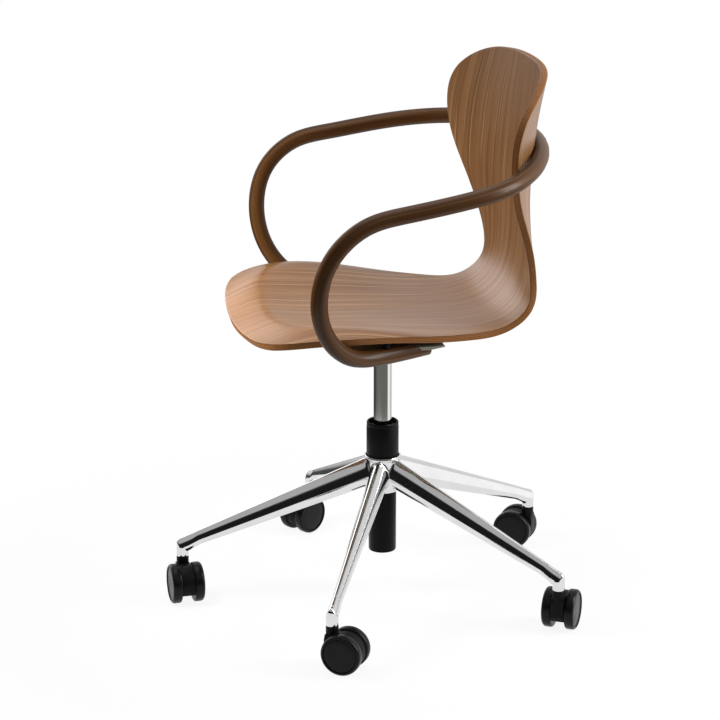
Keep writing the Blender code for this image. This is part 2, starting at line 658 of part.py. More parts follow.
def shell_object(name, look, thickness, offset, group):
    shell = place(name, shell_cage(name), look, group=group)
    mirror = shell.modifiers.new("mirror", "MIRROR")
    mirror.use_clip = True
    mirror.merge_threshold = MERGE
    curve = shell.modifiers.new("form", "SUBSURF")
    curve.levels = SHELL_LEVELS
    curve.render_levels = SHELL_LEVELS
    curve.boundary_smooth = "ALL"
    wall = shell.modifiers.new("plies", "SOLIDIFY")
    wall.thickness = thickness
    wall.offset = offset
    wall.use_even_offset = True
    return shell


def build_shell():
    shell = shell_object("seat_shell", "walnut_veneer", SHELL_T, -1, PARTS)
    baked(shell)
    thickness = SHELL_T + 2 * GAP
    keepout = shell_object("shell_keepout", None, thickness, -SHELL_T / thickness, CUTTERS)
    return shell, as_cutter(baked(keepout))


def build_loop(keepout):
    half = list(LOOP_HALF)
    other = [(-x, y, z) for x, y, z in reversed(half[:-1])]
    mesh = swept_mesh("arm_loop", half + other, LOOP_R, LOOP_SIDES_LEVEL, LOOP_RESOLUTION)
    loop = place("arm_loop", mesh, "bent_wood")
    top = LOOP_FLAT_Z + 2 * LOOP_R
    flat_side = [(LOOP_FLAT_FRONT_Y, LOOP_FLAT_Z), (LOOP_FLAT_FRONT_Y - LOOP_FLAT_RAMP, top),
                 (2 * CARRIER_BACK_Y, top), (2 * CARRIER_BACK_Y, LOOP_FLAT_Z)]
    flat_mesh = outline_mesh("loop_flat", flat_side, LOOP_FLAT_OUTER_X - PAN_HALF_X)
    flat_mesh.transform(YZ_PLANE)
    flat_x = (LOOP_FLAT_OUTER_X + PAN_HALF_X) / 2
    for side in (1, -1):
        flat = as_cutter(place(f"loop_flat_{side}", flat_mesh, None, (side * flat_x, 0, 0), group=CUTTERS))
        boolean(loop, flat, "DIFFERENCE")
        for number, (x, y) in enumerate(ARM_BOLTS):
            boolean(loop, hole_cutter(f"loop_bolt_{side}_{number}", BOLT_R + GAP, LOOP_FLAT_Z - 3 * LOOP_R,
                                      LOOP_FLAT_Z + LOOP_R, (side * x, y, 0)), "DIFFERENCE")
            boolean(loop, hole_cutter(f"loop_head_{side}_{number}", HEAD_R + 2 * GAP,
                                      LOOP_FLAT_Z - 3 * LOOP_R, arm_head_z(), (side * x, y, 0)),
                    "DIFFERENCE")
    boolean(loop, keepout, "DIFFERENCE")
    return loop


def arm_head_z():
    """Height of the arm bolts' head seats inside the rod."""
    return LOOP_FLAT_Z - ARM_HEAD_DEPTH


def bolt_mesh(name, length):
    """Bolt along +Z: a domed head below the origin and a shank above it."""
    return turned_mesh(name, (
        (0, length), (BOLT_R, length), (BOLT_R, 0), (HEAD_R, 0), (HEAD_R, -HEAD_T * 0.6),
        (HEAD_R * 0.7, -HEAD_T), (0, -HEAD_T)), COARSE_STEPS)


def build_carrier():
    slope = TROUGH_SLOPE
    section = [(WING_HALF_X, WING_TOP_Z), (JOGGLE_X, WING_TOP_Z), (PAN_HALF_X, PAN_TOP_Z),
               (-PAN_HALF_X, PAN_TOP_Z), (-JOGGLE_X, WING_TOP_Z), (-WING_HALF_X, WING_TOP_Z),
               (-WING_HALF_X, WING_TOP_Z - WING_T), (-JOGGLE_X, WING_TOP_Z - WING_T),
               (-PAN_HALF_X, PAN_TOP_Z - PAN_T), (PAN_HALF_X, PAN_TOP_Z - PAN_T),
               (JOGGLE_X, WING_TOP_Z - WING_T), (WING_HALF_X, WING_TOP_Z - WING_T)]
    plate = outline_mesh("carrier_plate", section, CARRIER_BACK_Y - CARRIER_FRONT_Y)
    plate.transform(Matrix.Translation((0, (CARRIER_BACK_Y + CARRIER_FRONT_Y) / 2, 0))
                    @ Matrix.Rotation(math.pi / 2, 4, "X"))
    carrier = place("seat_carrier", plate, "grey_steel")

    def trough(name, inset, bottom, top):
        """Pan with sloping ends, open at the top once the inner one is taken from the outer."""
        run = (top - bottom) * slope / (PAN_TOP_Z - TROUGH_BOTTOM_Z)
        front = TROUGH_FRONT_Y + inset
        back = TROUGH_BACK_Y - inset
        sides = [(back, bottom), (back + run, top), (front - run, top), (front, bottom)]
        shape = outline_mesh(name, sides, 2 * (TROUGH_HALF_X - inset))
        shape.transform(YZ_PLANE)
        return as_cutter(place(name, shape, None, group=CUTTERS))

    outer = trough("trough_outer", 0, TROUGH_BOTTOM_Z, PAN_TOP_Z)
    inner = trough("trough_inner", TROUGH_WALL, TROUGH_BOTTOM_Z + TROUGH_WALL, PAN_TOP_Z + TROUGH_WALL)
    boolean(carrier, outer, "UNION")
    boolean(carrier, inner, "DIFFERENCE")
    for side in (1, -1):
        taper = outline_mesh("wing_taper", (
            (CARRIER_BACK_Y - WING_TAPER, WING_TOP_Z - WING_T), (CARRIER_BACK_Y, WING_TOP_Z - WING_TIP_T),
            (CARRIER_BACK_Y + WING_T, WING_TOP_Z - WING_TIP_T), (CARRIER_BACK_Y + WING_T, PAN_TOP_Z),
            (CARRIER_BACK_Y - WING_TAPER, PAN_TOP_Z)), WING_HALF_X - PAN_HALF_X)
        taper.transform(YZ_PLANE)
        middle = (side * (WING_HALF_X + JOGGLE_X * 2 - PAN_HALF_X) / 2, 0, 0)
        boolean(carrier, as_cutter(place(f"wing_taper_{side}", taper, None, middle, group=CUTTERS)),
                "DIFFERENCE")
    boss = place("boss", cylinder_mesh("boss", BOSS_R, BOSS_BOTTOM_Z, BOSS_TOP_Z, FINE_STEPS), None,
                 group=CUTTERS)
    boolean(carrier, as_cutter(boss), "UNION")
    for side in (1, -1):
        near = side * (LEVER_R + 2 * GAP)
        far = side * (LEVER_R + 2 * GAP + LUG_T)
        lug = box_mesh("lug", (PIVOT_X - LUG_W / 2, min(near, far), TROUGH_BOTTOM_Z + TROUGH_WALL / 2),
                       (PIVOT_X + LUG_W / 2, max(near, far), LUG_TOP_Z))
        boolean(carrier, as_cutter(place(f"lug_{side}", lug, None, group=CUTTERS)), "UNION")
    boolean(carrier, hole_cutter("cylinder_bore", CYLINDER_R + GAP, BOSS_BOTTOM_Z - TROUGH_WALL,
                                 BOSS_TOP_Z + TROUGH_WALL, (0, 0, 0), FINE_STEPS), "DIFFERENCE")
    pin_bore = hole_cutter("pin_bore", PIN_R + GAP, -BOSS_R, BOSS_R, (PIVOT_X, 0, PIVOT_Z))
    pin_bore.rotation_euler = (math.pi / 2, 0, 0)
    boolean(carrier, pin_bore, "DIFFERENCE")
    window = box_mesh("lever_window", (-TROUGH_HALF_X - TROUGH_WALL, -2 * LEVER_R, PIVOT_Z - 2.2 * LEVER_R),
                      (-TROUGH_HALF_X + 2 * TROUGH_WALL, 2 * LEVER_R, PAN_TOP_Z - PAN_T - 2 * GAP))
    boolean(carrier, as_cutter(place("lever_window", window, None, group=CUTTERS)), "DIFFERENCE")
    for side in (1, -1):
        for number, (x, y, *_) in enumerate(SEAT_BOLTS + ARM_BOLTS):
            boolean(carrier, hole_cutter(f"carrier_hole_{side}_{number}", BOLT_R + GAP,
                                         PAN_TOP_Z - 2 * PAN_T, WING_TOP_Z + PAN_T, (side * x, y, 0)),
                    "DIFFERENCE")
    baked(carrier)


def build_fixings(shell, keepout):
    """Bolts, pads and spacers that hold the shell and the loop to the carrier."""
    seat_head_z = PAN_TOP_Z - PAN_T - GAP
    seat_bolts = [bolt_mesh(f"seat_bolt_{end}", top - seat_head_z)
                  for (x, y, top), end in zip(SEAT_BOLTS, ("front", "back"))]
    arm_bolt = bolt_mesh("arm_bolt", WING_TOP_Z - arm_head_z())
    for mesh in (*seat_bolts, arm_bolt):
        mesh.materials.append(material("zinc_steel"))
    for side, tag in ((1, "left"), (-1, "right")):
        for (x, y, top), seat_bolt, end in zip(SEAT_BOLTS, seat_bolts, ("front", "back")):
            here = (side * x, y, 0)
            place(f"seat_bolt_{tag}_{end}", seat_bolt, None, (side * x, y, seat_head_z))
            pad = turned(f"seat_pad_{tag}_{end}", ring_profile(
                BOLT_R + GAP, PAD_R, PAN_TOP_Z + GAP, top), "rubber", COARSE_STEPS, here)
            boolean(pad, keepout, "DIFFERENCE")
            baked(pad)
            boolean(shell, hole_cutter(f"shell_hole_{tag}_{end}", BOLT_R + GAP, PAN_TOP_Z,
                                       top + 2 * GAP, here), "DIFFERENCE")
        for (x, y), end in zip(ARM_BOLTS, ("back", "front")):
            place(f"arm_bolt_{tag}_{end}", arm_bolt, None, (side * x, y, arm_head_z() - GAP))
        x, y = SPACER_XY
        spacer = place(f"arm_spacer_{tag}", cylinder_mesh(f"arm_spacer_{tag}", SPACER_R,
                                                          LOOP_FLAT_Z + GAP, SPACER_RAW_TOP_Z),
                       "rubber", (side * x, y, 0))
        boolean(spacer, keepout, "DIFFERENCE")
        baked(spacer)


def build_lever():
    home = Vector((PIVOT_X, 0, PIVOT_Z))
    route = [point - Vector((PIVOT_X, 0, 0)) for point in rounded(LEVER_ROUTE)]
    mesh = swept_mesh("release_lever", route, LEVER_R, 3)
    lever = place("release_lever", mesh, "zinc_steel", home)
    pin_hole = hole_cutter("lever_pin_hole", PIN_R + GAP, -BOSS_R, BOSS_R, home)
    pin_hole.rotation_euler = (math.pi / 2, 0, 0)
    boolean(lever, pin_hole, "DIFFERENCE")
    half = LEVER_R + 2 * GAP + LUG_T
    pin_mesh = cylinder_mesh("lever_pivot_pin", PIN_R, -half, half)
    pin = place("lever_pivot_pin", pin_mesh, "zinc_steel", home)
    pin.rotation_euler = (math.pi / 2, 0, 0)

    tip, before = Vector(LEVER_ROUTE[-1]), Vector(LEVER_ROUTE[-2])
    along = (tip - before).normalized()
    tip.z += PIVOT_Z
    bore = LEVER_R + GAP
    grip = place("lever_grip", turned_mesh("lever_grip", (
        (0, GRIP_LENGTH), (GRIP_R * 0.6, GRIP_LENGTH - GRIP_R * 0.2), (GRIP_R, GRIP_LENGTH - GRIP_R),
        (GRIP_R, GRIP_R * 0.3), (GRIP_R * 0.8, 0), (bore, 0), (bore, GRIP_INSIDE),
        (0, GRIP_INSIDE)), STEPS),
        "black_plastic", tip - along * (GRIP_INSIDE - GAP))
    grip.rotation_euler = along.to_track_quat("Z", "Y").to_euler()
    baked(lever)


def build_back_bolts(shell, loop):
    """Two bolts through the back of the loop into the shell."""
    back = loop_back()
    for side, tag in ((1, "left"), (-1, "right")):
        x = side * BACK_BOLT_X
        seat_y = back.y + LOOP_R * 0.55
        shank = seat_y - shell_back_y() + BACK_BOLT_REACH
        mesh = bolt_mesh(f"back_bolt_{tag}", shank)
        mesh.materials.append(material("zinc_steel"))
        bolt = place(f"back_bolt_{tag}", mesh, None, (x, seat_y, back.z))
        bolt.rotation_euler = (math.pi / 2, 0, 0)
        for radius, start, name in ((BOLT_R + GAP, -shank - GAP, "shank"), (HEAD_R + GAP, -GAP, "head")):
            stop = 3 * LOOP_R
            cutter = as_cutter(place(f"back_{name}_{tag}", cylinder_mesh(
                f"back_{name}", radius, start, stop), None, (x, seat_y, back.z), group=CUTTERS))
            cutter.rotation_euler = (-math.pi / 2, 0, 0)
            boolean(loop, cutter, "DIFFERENCE")
            if name == "shank":
                boolean(shell, cutter, "DIFFERENCE")


def loop_back():
    """Rod's centre behind the backrest, where the cubic route passes its middle control point."""
    middle, neighbour = Vector(LOOP_HALF[-1]), Vector(LOOP_HALF[-2])
    return Vector((0, (4 * middle.y + 2 * neighbour.y) / 6, (4 * middle.z + 2 * neighbour.z) / 6))


def shell_back_y():
    """Rear face of the backrest behind the loop's bolts, read between two stations."""
    height = loop_back().z
    for low, high in zip(SHELL_STATIONS, SHELL_STATIONS[1:]):
        if low.centre_z <= height <= high.centre_z:
            share = (height - low.centre_z) / (high.centre_z - low.centre_z)
            return low.centre_y + (high.centre_y - low.centre_y) * share + SHELL_T
    return SHELL_STATIONS[-1].centre_y


def centre_on_floor():
    """Move the chair so that the origin is under the middle of the space it stands in."""
    bpy.context.view_layer.update()
    points = [piece.matrix_world @ vertex.co for piece in PARTS.objects if piece.type == "MESH"
              for vertex in piece.data.vertices]
    across = [point.x for point in points]
    along = [point.y for point in points]
    middle = Vector(((min(across) + max(across)) / 2, (min(along) + max(along)) / 2, 0))
    for thing in list(PARTS.objects) + list(CUTTERS.objects):
        if thing.parent is None:
            thing.location = thing.location - middle


for leftover in list(bpy.data.objects):
    bpy.data.objects.remove(leftover)
PARTS = collection("swivel_chair")
CUTTERS = collection("cutters")

build_column()
build_base()
build_casters()
seat_shell, shell_keepout = build_shell()
arm_loop = build_loop(shell_keepout)
build_carrier()
build_fixings(seat_shell, shell_keepout)
build_back_bolts(seat_shell, arm_loop)
baked(seat_shell)
baked(arm_loop)
build_lever()
centre_on_floor()
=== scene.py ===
"""Looks of the swivel chair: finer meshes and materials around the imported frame, and the studio.

Metres, +Z up, and the sitter faces -Y. COLUMN_X and COLUMN_Y, read from the frame, are the place of
the column that the seat, the arms and the base are drawn about.
"""

import json
import math
from collections import namedtuple

import bmesh
import bpy
import numpy as np
from mathutils import Matrix, Vector
from mathutils.bvhtree import BVHTree


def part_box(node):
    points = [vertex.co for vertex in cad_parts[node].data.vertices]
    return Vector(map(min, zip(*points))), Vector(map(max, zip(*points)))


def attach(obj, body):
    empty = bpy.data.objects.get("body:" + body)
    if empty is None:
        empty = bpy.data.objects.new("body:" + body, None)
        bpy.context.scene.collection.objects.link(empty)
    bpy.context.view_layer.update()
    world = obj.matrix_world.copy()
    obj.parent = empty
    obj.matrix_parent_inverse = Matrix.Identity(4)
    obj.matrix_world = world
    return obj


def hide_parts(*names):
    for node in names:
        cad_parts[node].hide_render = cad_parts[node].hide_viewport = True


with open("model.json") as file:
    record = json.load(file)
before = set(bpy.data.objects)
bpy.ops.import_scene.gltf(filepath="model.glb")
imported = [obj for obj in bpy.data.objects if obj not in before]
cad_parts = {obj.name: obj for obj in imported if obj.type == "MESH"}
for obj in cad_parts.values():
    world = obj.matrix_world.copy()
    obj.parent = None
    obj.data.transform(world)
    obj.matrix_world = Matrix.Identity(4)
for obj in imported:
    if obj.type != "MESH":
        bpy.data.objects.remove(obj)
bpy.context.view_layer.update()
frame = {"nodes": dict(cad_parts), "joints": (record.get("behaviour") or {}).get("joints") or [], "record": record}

GAP = 0.0003
MERGE = 0.00002
SHARP_ANGLE = math.radians(35)
ROUND_STEPS = 72
YZ_PLANE = Matrix(((0, 0, 1, 0), (1, 0, 0, 0), (0, 1, 0, 0), (0, 0, 0, 1)))

# Column
TUBE_UPPER_R = 0.0235
TUBE_LOWER_R = 0.0215
TUBE_BORE_R = 0.0190
TUBE_WIDE_BORE_R = 0.021
TUBE_SHELF_Z = 0.198
TUBE_FLOOR_T = 0.003
TUBE_FOOT_EDGE = 0.003
ROD_R = 0.005
HUB_BOTTOM_Z = 0.171
HUB_TOP_Z = 0.229
HUB_COLLAR_SEAT_Z = 0.224
COLLAR_R = 0.025
COLLAR_LIP_R = 0.0218
COLLAR_GROOVE_Z = 0.2755
COLLAR_GROOVE_H = 0.0011
COLLAR_GROOVE_DEPTH = 0.0009
COLLAR_TOP_INSET = 0.0003
COLLAR_EDGE = 0.0012
COLLAR_ROUNDING = 0.0002
BUSH_SLEEVE_R = 0.0207
BUSH_MOUTH_DEPTH = 0.0008
BUSH_MOUTH_FLARE = 0.0011
BUSH_ROUNDING = 0.0003
CYLINDER_EDGE = 0.001

# Star base
ARM_COUNT = 5
ARM_YAW = math.radians(46.5)
STEM_RADIUS = 0.313
STEM_R = 0.0055
HUB_R = 0.0265
HUB_RIM_R = 0.0285
HUB_FOOT_R = 0.0250
SOCKET_R = 0.0095
SOCKET_BOTTOM_Z = 0.068
SOCKET_TOP_Z = 0.0845
SOCKET_BORE_TOP_Z = 0.0885
CUTTER_TOP_Z = 0.3
ARM_SPANS = 20
ARM_START_R = 0.018
ARM_START_Z = 0.2030
# Arm's stations before the stem, as (distance to the stem, height, size of the section)
ARM_STATIONS = ((0.0260, 0.0979, 0.490), (0.0200, 0.0948, 0.502), (0.0140, 0.0918, 0.532),
                (0.0090, 0.0893, 0.560), (-0.0120, 0.0812, 0.560))
# Half of the section about the arm's line, with slightly full sides
ARM_SECTION = ((0.0015, 0.0220), (0.0035, 0.0213), (0.0050, 0.0198), (0.0081, 0.0157),
               (0.0107, 0.0115), (0.0129, 0.0071), (0.0146, 0.0025), (0.0165, -0.0040),
               (0.0158, -0.0104), (0.0131, -0.0156), (0.0094, -0.0202), (0.0060, -0.0218))
ARM_CORNER = 0.0012
CORNER_STEPS = 3
ARM_DOME_Z = 0.0976
ARM_DOME_R = 0.0085
DOME_ARC = tuple(math.radians(90 - 7.5 * step) for step in range(13))
BASE_VOXEL = 0.0006
BASE_SMOOTHING = 24
BASE_THINNING = 0.16
# Where the arms are drawn back onto their planed shape: fade in from, to, and fade out from, to
ARM_SHARP_R = (0.060, 0.085, STEM_RADIUS - 0.022, STEM_RADIUS - 0.012)
ARM_ROUNDING = 11
# Cast fillets between the arms: how far out, between which heights and how soft, and how they fade
FILLET_R = 0.050
FILLET_Z = (0.160, 0.2205)
FILLET_SMOOTHING = 140
FILLET_OUTER_FADE = 0.015
FILLET_INNER_REACH = 0.0012
FILLET_INNER_FADE = 0.001
FILLET_LOW_FADE = 0.004
FILLET_HIGH_FADE = 0.003

# Casters
WHEEL_R = 0.031
WHEEL_T = 0.0148
WHEEL_DISC_R = 0.0252
WHEEL_DISC_T = WHEEL_T - 0.0012
WHEEL_ROUNDING = 0.0002
CASTER_TRAIL = 0.021
CASTER_BODY_W = 0.020
CASTER_ROUNDING = 0.0012
NECK_R = 0.0095
NECK_EDGE = 0.0008
NECK_BOTTOM_Z = 0.0480
STEM_BOTTOM_Z = 0.0397
AXLE_R = 0.003
AXLE_DEPTH = 0.0095
CASTER_OUTLINE = ((0.0080, 0.0560), (0.0095, 0.0480), (0.0095, 0.0260), (0.0060, 0.0185),
                  (-0.0050, 0.0180), (-0.0060, 0.0200), (-0.0110, 0.0200), (-0.0120, 0.0180))
HOOD_R = 0.0285
HOOD_ARC = tuple(math.radians(207 - 6 * step) for step in range(24))
# Wheel's outside as (radius, height): domed disc, groove, raised ring and rounded tread
WHEEL_OUTSIDE = (
    (0, WHEEL_DISC_T + 0.0003), (WHEEL_DISC_R * 0.6, WHEEL_DISC_T + 0.0002), (WHEEL_DISC_R, WHEEL_DISC_T),
    (WHEEL_DISC_R + 0.0003, WHEEL_DISC_T - 0.0007), (WHEEL_DISC_R + 0.0007, WHEEL_DISC_T - 0.0007),
    (WHEEL_DISC_R + 0.0010, WHEEL_T - 0.0003), (WHEEL_DISC_R + 0.0014, WHEEL_T),
    (0.0280, WHEEL_T), (0.0297, WHEEL_T - 0.0013), (0.0306, WHEEL_T - 0.0027),
    (WHEEL_R, WHEEL_T - 0.0044), (WHEEL_R, 0.0024), (0.0303, 0.0008), (0.0290, 0))

# Arm loop: the rod's route on the sitter's left, and the rebate that takes the carrier's wing
LOOP_R = 0.0125
LOOP_HALF = ((0.165, 0.032, 0.450), (0.195, -0.054, 0.444), (0.231, -0.101, 0.453),
             (0.253, -0.142, 0.502), (0.272, -0.154, 0.563), (0.287, -0.138, 0.628),
             (0.286, -0.086, 0.673), (0.280, -0.030, 0.680), (0.281, 0.059, 0.695),
             (0.254, 0.145, 0.707), (0.146, 0.2125, 0.722), (0.0, 0.238, 0.726))
LOOP_STEPS = 12
LOOP_SIDES = 6
LOOP_EDGE = 0.0006
# Points of the rod that are given grain coordinates at a time, to spare memory
GRAIN_BLOCK = 2000
LOOP_FLAT_Z = 0.4492
LOOP_FLAT_FRONT_Y = -0.060
LOOP_FLAT_RAMP = 0.028
LOOP_FLAT_X = (0.118, 0.1826)
LOOP_FLAT_BACK_Y = 0.088

# Plywood shell
SHELL_T = 0.010
SHELL_LEVELS = 4
SHELL_ROUNDING = 0.0014
SHELL_SHARP_ANGLE = math.radians(60)
CAGE_WIDTH = 5
PLY_T = 0.00125
Station = namedtuple("Station", "side_x side_y side_z centre_y centre_z crest", defaults=(None,))
SHELL_STATIONS = (
    Station(0.195, -0.2135, 0.4735, -0.237, 0.458, (0.102, -0.2295, 0.460)),
    Station(0.223, -0.1480, 0.4855, -0.185, 0.474, (0.160, -0.1790, 0.4925)),
    Station(0.224, -0.0795, 0.4850, -0.133, 0.467, (0.187, -0.1100, 0.4965)),
    Station(0.205, -0.0165, 0.4790, -0.075, 0.465, (0.184, -0.0430, 0.4895)),
    Station(0.187, 0.0440, 0.4705, -0.017, 0.463, (0.160, 0.0160, 0.4735)),
    Station(0.170, 0.1000, 0.4665, 0.042, 0.461),
    Station(0.151, 0.1510, 0.4640, 0.100, 0.459),
    Station(0.151, 0.1945, 0.4930, 0.158, 0.463),
    Station(0.138, 0.1950, 0.5350, 0.200, 0.503),
    Station(0.155, 0.1845, 0.5850, 0.208, 0.572),
    Station(0.162, 0.1645, 0.6405, 0.207, 0.640),
    Station(0.195, 0.1495, 0.6875, 0.211, 0.708),
    Station(0.2085, 0.1430, 0.7445, 0.219, 0.777),
    Station(0.2115, 0.1555, 0.7995, 0.236, 0.8415, (0.141, 0.2115, 0.845)),
)
# How sharply the seat folds over its lip: across the front, and back along each side
FRONT_FOLD = 0.36
SIDE_FOLDS = (0.36, 0.33, 0.22)
DISH_MID = 1 / 6

# Camera: how it looks at the chair, from where, and through which lens
VIEW_AZIMUTH = math.radians(78.5)
VIEW_ELEVATION = math.radians(17.2)
VIEW_DISTANCE = 4.25
VIEW_ASIDE = -0.035
VIEW_HEIGHT = 0.381
LENS_MM = 138.25
SENSOR_MM = 36

# Wood: sway of the grain, and its layers as stretch along it, scale, detail, roughness and shift
GRAIN_SWAY = 0.006
BANDS = (0.014, 110, 3.5, 0.66, 0)
LINES = (0.006, 520, 3.0, 0.6, 3)
PORES = (0.02, 2300, 2.0, 0.5, 7)
STREAKS = (0.010, 260, 2.0, 0.5, 11)
RELIEF = 0.0002

# Studio: the white sweep under the chair, and what the world shows and how bright
FLOOR_COLOUR = (0.90, 0.90, 0.90)
FLOOR_R = 0.85
FLOOR_WHITE = (0.90, 1.0)
FLOOR_FADE = (0.40, 0.80)
SKY_LEVEL = 0.33
WINDOW_LEVEL = 2.4
WINDOW_SIDE = (-0.53, 0.79, 0.31)
STUDIO_FLOOR_LEVELS = (0.18, 0.07)
ROOM_LEVEL = 0.012
WALL_LEVEL = 0.85
PANEL_LEVEL = 1.2
CEILING_LEVEL = 0.50
# Where each part of the mirrored studio starts and is full, as the cosine to its direction
WALL_EDGE = (0.05, 0.40)
PANEL_EDGE = (0.84, 0.90)
CEILING_EDGE = (0.46, 0.53)
WINDOW_EDGE = (0.92, 0.98)
HORIZON = (-0.10, -0.04)
FLOOR_EDGE = (-0.2, 0.2)
BEHIND_RIGHT = (0.12, 0.32)
BEHIND_AWAY = (0.3, 0.6)
# Lamps, placed and aimed by the camera's view: to its right, away from it and up
Lamp = namedtuple("Lamp", "name place aim size power spread mirrored", defaults=(math.pi, True))
LAMPS = (
    Lamp("key", (1.9, -0.3, 1.3), (0, 0, 0.45), (0.8, 1.5), 42),
    Lamp("top", (-0.1, 0.2, 2.5), (0, 0, 0.4), (1.6, 1.6), 14),
    Lamp("front", (-0.56, -0.13, 0.69), (-0.24, 0, 0.47), (0.25, 0.25), 2.4, math.radians(120), False),
)

low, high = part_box("gas_cylinder")
COLUMN_X = (low[0] + high[0]) / 2
COLUMN_Y = (low[1] + high[1]) / 2
COLUMN = Vector((COLUMN_X, COLUMN_Y, 0))


# Mesh tools

def link(name, mesh, look=None, location=(0, 0, 0), yaw=0.0):
    made = bpy.data.objects.new(name, mesh)
    made.location = location
    made.rotation_euler = (0, 0, yaw)
    if look is not None:
        mesh.materials.clear()
        mesh.materials.append(look)
    bpy.context.scene.collection.objects.link(made)
    return made


def evaluated(thing, merge=MERGE):
    """Copy of an object's shape with its modifiers applied, welded, in its own frame."""
    bpy.context.view_layer.update()
    mesh = bpy.data.meshes.new_from_object(thing.evaluated_get(bpy.context.evaluated_depsgraph_get()))
    work = bmesh.new()
    work.from_mesh(mesh)
    bmesh.ops.remove_doubles(work, verts=work.verts, dist=merge)
    work.to_mesh(mesh)
    work.free()
    return mesh


def baked(thing):
    """Apply an object's modifiers and its placing to its mesh."""
    mesh = evaluated(thing)
    mesh.transform(thing.matrix_world)
    thing.modifiers.clear()
    thing.data = mesh
    thing.matrix_world = Matrix.Identity(4)
    smooth(mesh)
    return thing


def smooth(mesh, angle=SHARP_ANGLE):
    mesh.shade_smooth()
    mesh.set_sharp_from_angle(angle=angle)


def outward(mesh):
    work = bmesh.new()
    work.from_mesh(mesh)
    bmesh.ops.recalc_face_normals(work, faces=work.faces)
    work.to_mesh(mesh)
    work.free()


def boolean(thing, other, operation):
    step = thing.modifiers.new(operation.lower(), "BOOLEAN")
    step.operation = operation
    step.solver = "EXACT"
    step.object = other
    other.hide_render = True


def bevel(thing, width, segments, degrees):
    """Round an object's edges that are sharper than the angle."""
    edge = thing.modifiers.new("edge", "BEVEL")
    edge.width = width
    edge.segments = segments
    edge.limit_method = "ANGLE"
    edge.angle_limit = math.radians(degrees)


def smoothing(thing, iterations, group=""):
    step = thing.modifiers.new("smoothing", "SMOOTH")
    step.factor = 0.5
    step.iterations = iterations
    step.vertex_group = group


def share_of(value):
    """The value held between 0 and 1."""
    return min(1, max(0, value))


def drop(*things):
    for thing in things:
        bpy.data.objects.remove(thing)


def turned_mesh(name, profile, steps=ROUND_STEPS, rounding=0.0):
    """Body of revolution about Z from (radius, height) points, its sharp corners rounded."""
    mesh = bpy.data.meshes.new(name)
    mesh.from_pydata([(r, 0, z) for r, z in profile], [(i, i + 1) for i in range(len(profile) - 1)], [])
    draft = link(name + "_draft", mesh)
    spin = draft.modifiers.new("spin", "SCREW")
    spin.steps = steps
    spin.render_steps = steps
    spin.use_merge_vertices = True
    spin.merge_threshold = MERGE
    if rounding:
        bevel(draft, rounding, 2, 28)
    mesh = evaluated(draft)
    outward(mesh)
    drop(draft)
    smooth(mesh)
    return mesh


def outline_mesh(name, points, thickness):
    """Flat outline in XY, extruded evenly about Z=0."""
    curve = bpy.data.curves.new(name, "CURVE")
    curve.dimensions = "2D"
    curve.fill_mode = "BOTH"
    curve.extrude = thickness / 2
    line = curve.splines.new("POLY")
    line.points.add(len(points) - 1)
    for slot, (x, y) in zip(line.points, points):
        slot.co = (x, y, 0, 1)
    line.use_cyclic_u = True
    draft = link(name, curve)
    mesh = evaluated(draft)
    outward(mesh)
    drop(draft)
    return mesh


def cylinder_mesh(name, radius, bottom, top, steps=32):
    work = bmesh.new()
    bmesh.ops.create_cone(work, cap_ends=True, segments=steps, radius1=radius, radius2=radius,
                          depth=top - bottom, matrix=Matrix.Translation((0, 0, (bottom + top) / 2)))
    mesh = bpy.data.meshes.new(name)
    work.to_mesh(mesh)
    work.free()
    return mesh


def rounded_outline(points, radius, steps=CORNER_STEPS):
    """Closed outline with each corner replaced by a short arc."""
    result = []
    count = len(points)
    for index, corner in enumerate(points):
        here = Vector(corner)
        before = Vector(points[index - 1]) - here
        after = Vector(points[(index + 1) % count]) - here
        reach = min(radius, before.length * 0.45, after.length * 0.45)
        start = here + before.normalized() * reach
        end = here + after.normalized() * reach
        for step in range(steps + 1):
            t = step / steps
            result.append(tuple(start * (1 - t) ** 2 + here * 2 * t * (1 - t) + end * t ** 2))
    return result


def set_grain(mesh, coordinates):
    """Keep wood coordinates on a mesh: across the grain, along it, and into the wood."""
    if "grain" in mesh.attributes:
        mesh.attributes.remove(mesh.attributes["grain"])
    layer = mesh.attributes.new("grain", "FLOAT_VECTOR", "POINT")
    layer.data.foreach_set("vector", np.asarray(coordinates, dtype=np.float32).ravel())


# Materials

def principled(name, colour, metallic=0.0, roughness=0.5, **sockets):
    made = bpy.data.materials.new(name)
    made.use_nodes = True
    shader = made.node_tree.nodes["Principled BSDF"]
    shader.inputs["Base Color"].default_value = (*colour, 1)
    shader.inputs["Metallic"].default_value = metallic
    shader.inputs["Roughness"].default_value = roughness
    for socket, value in sockets.items():
        shader.inputs[socket.replace("_", " ")].default_value = value
    return made


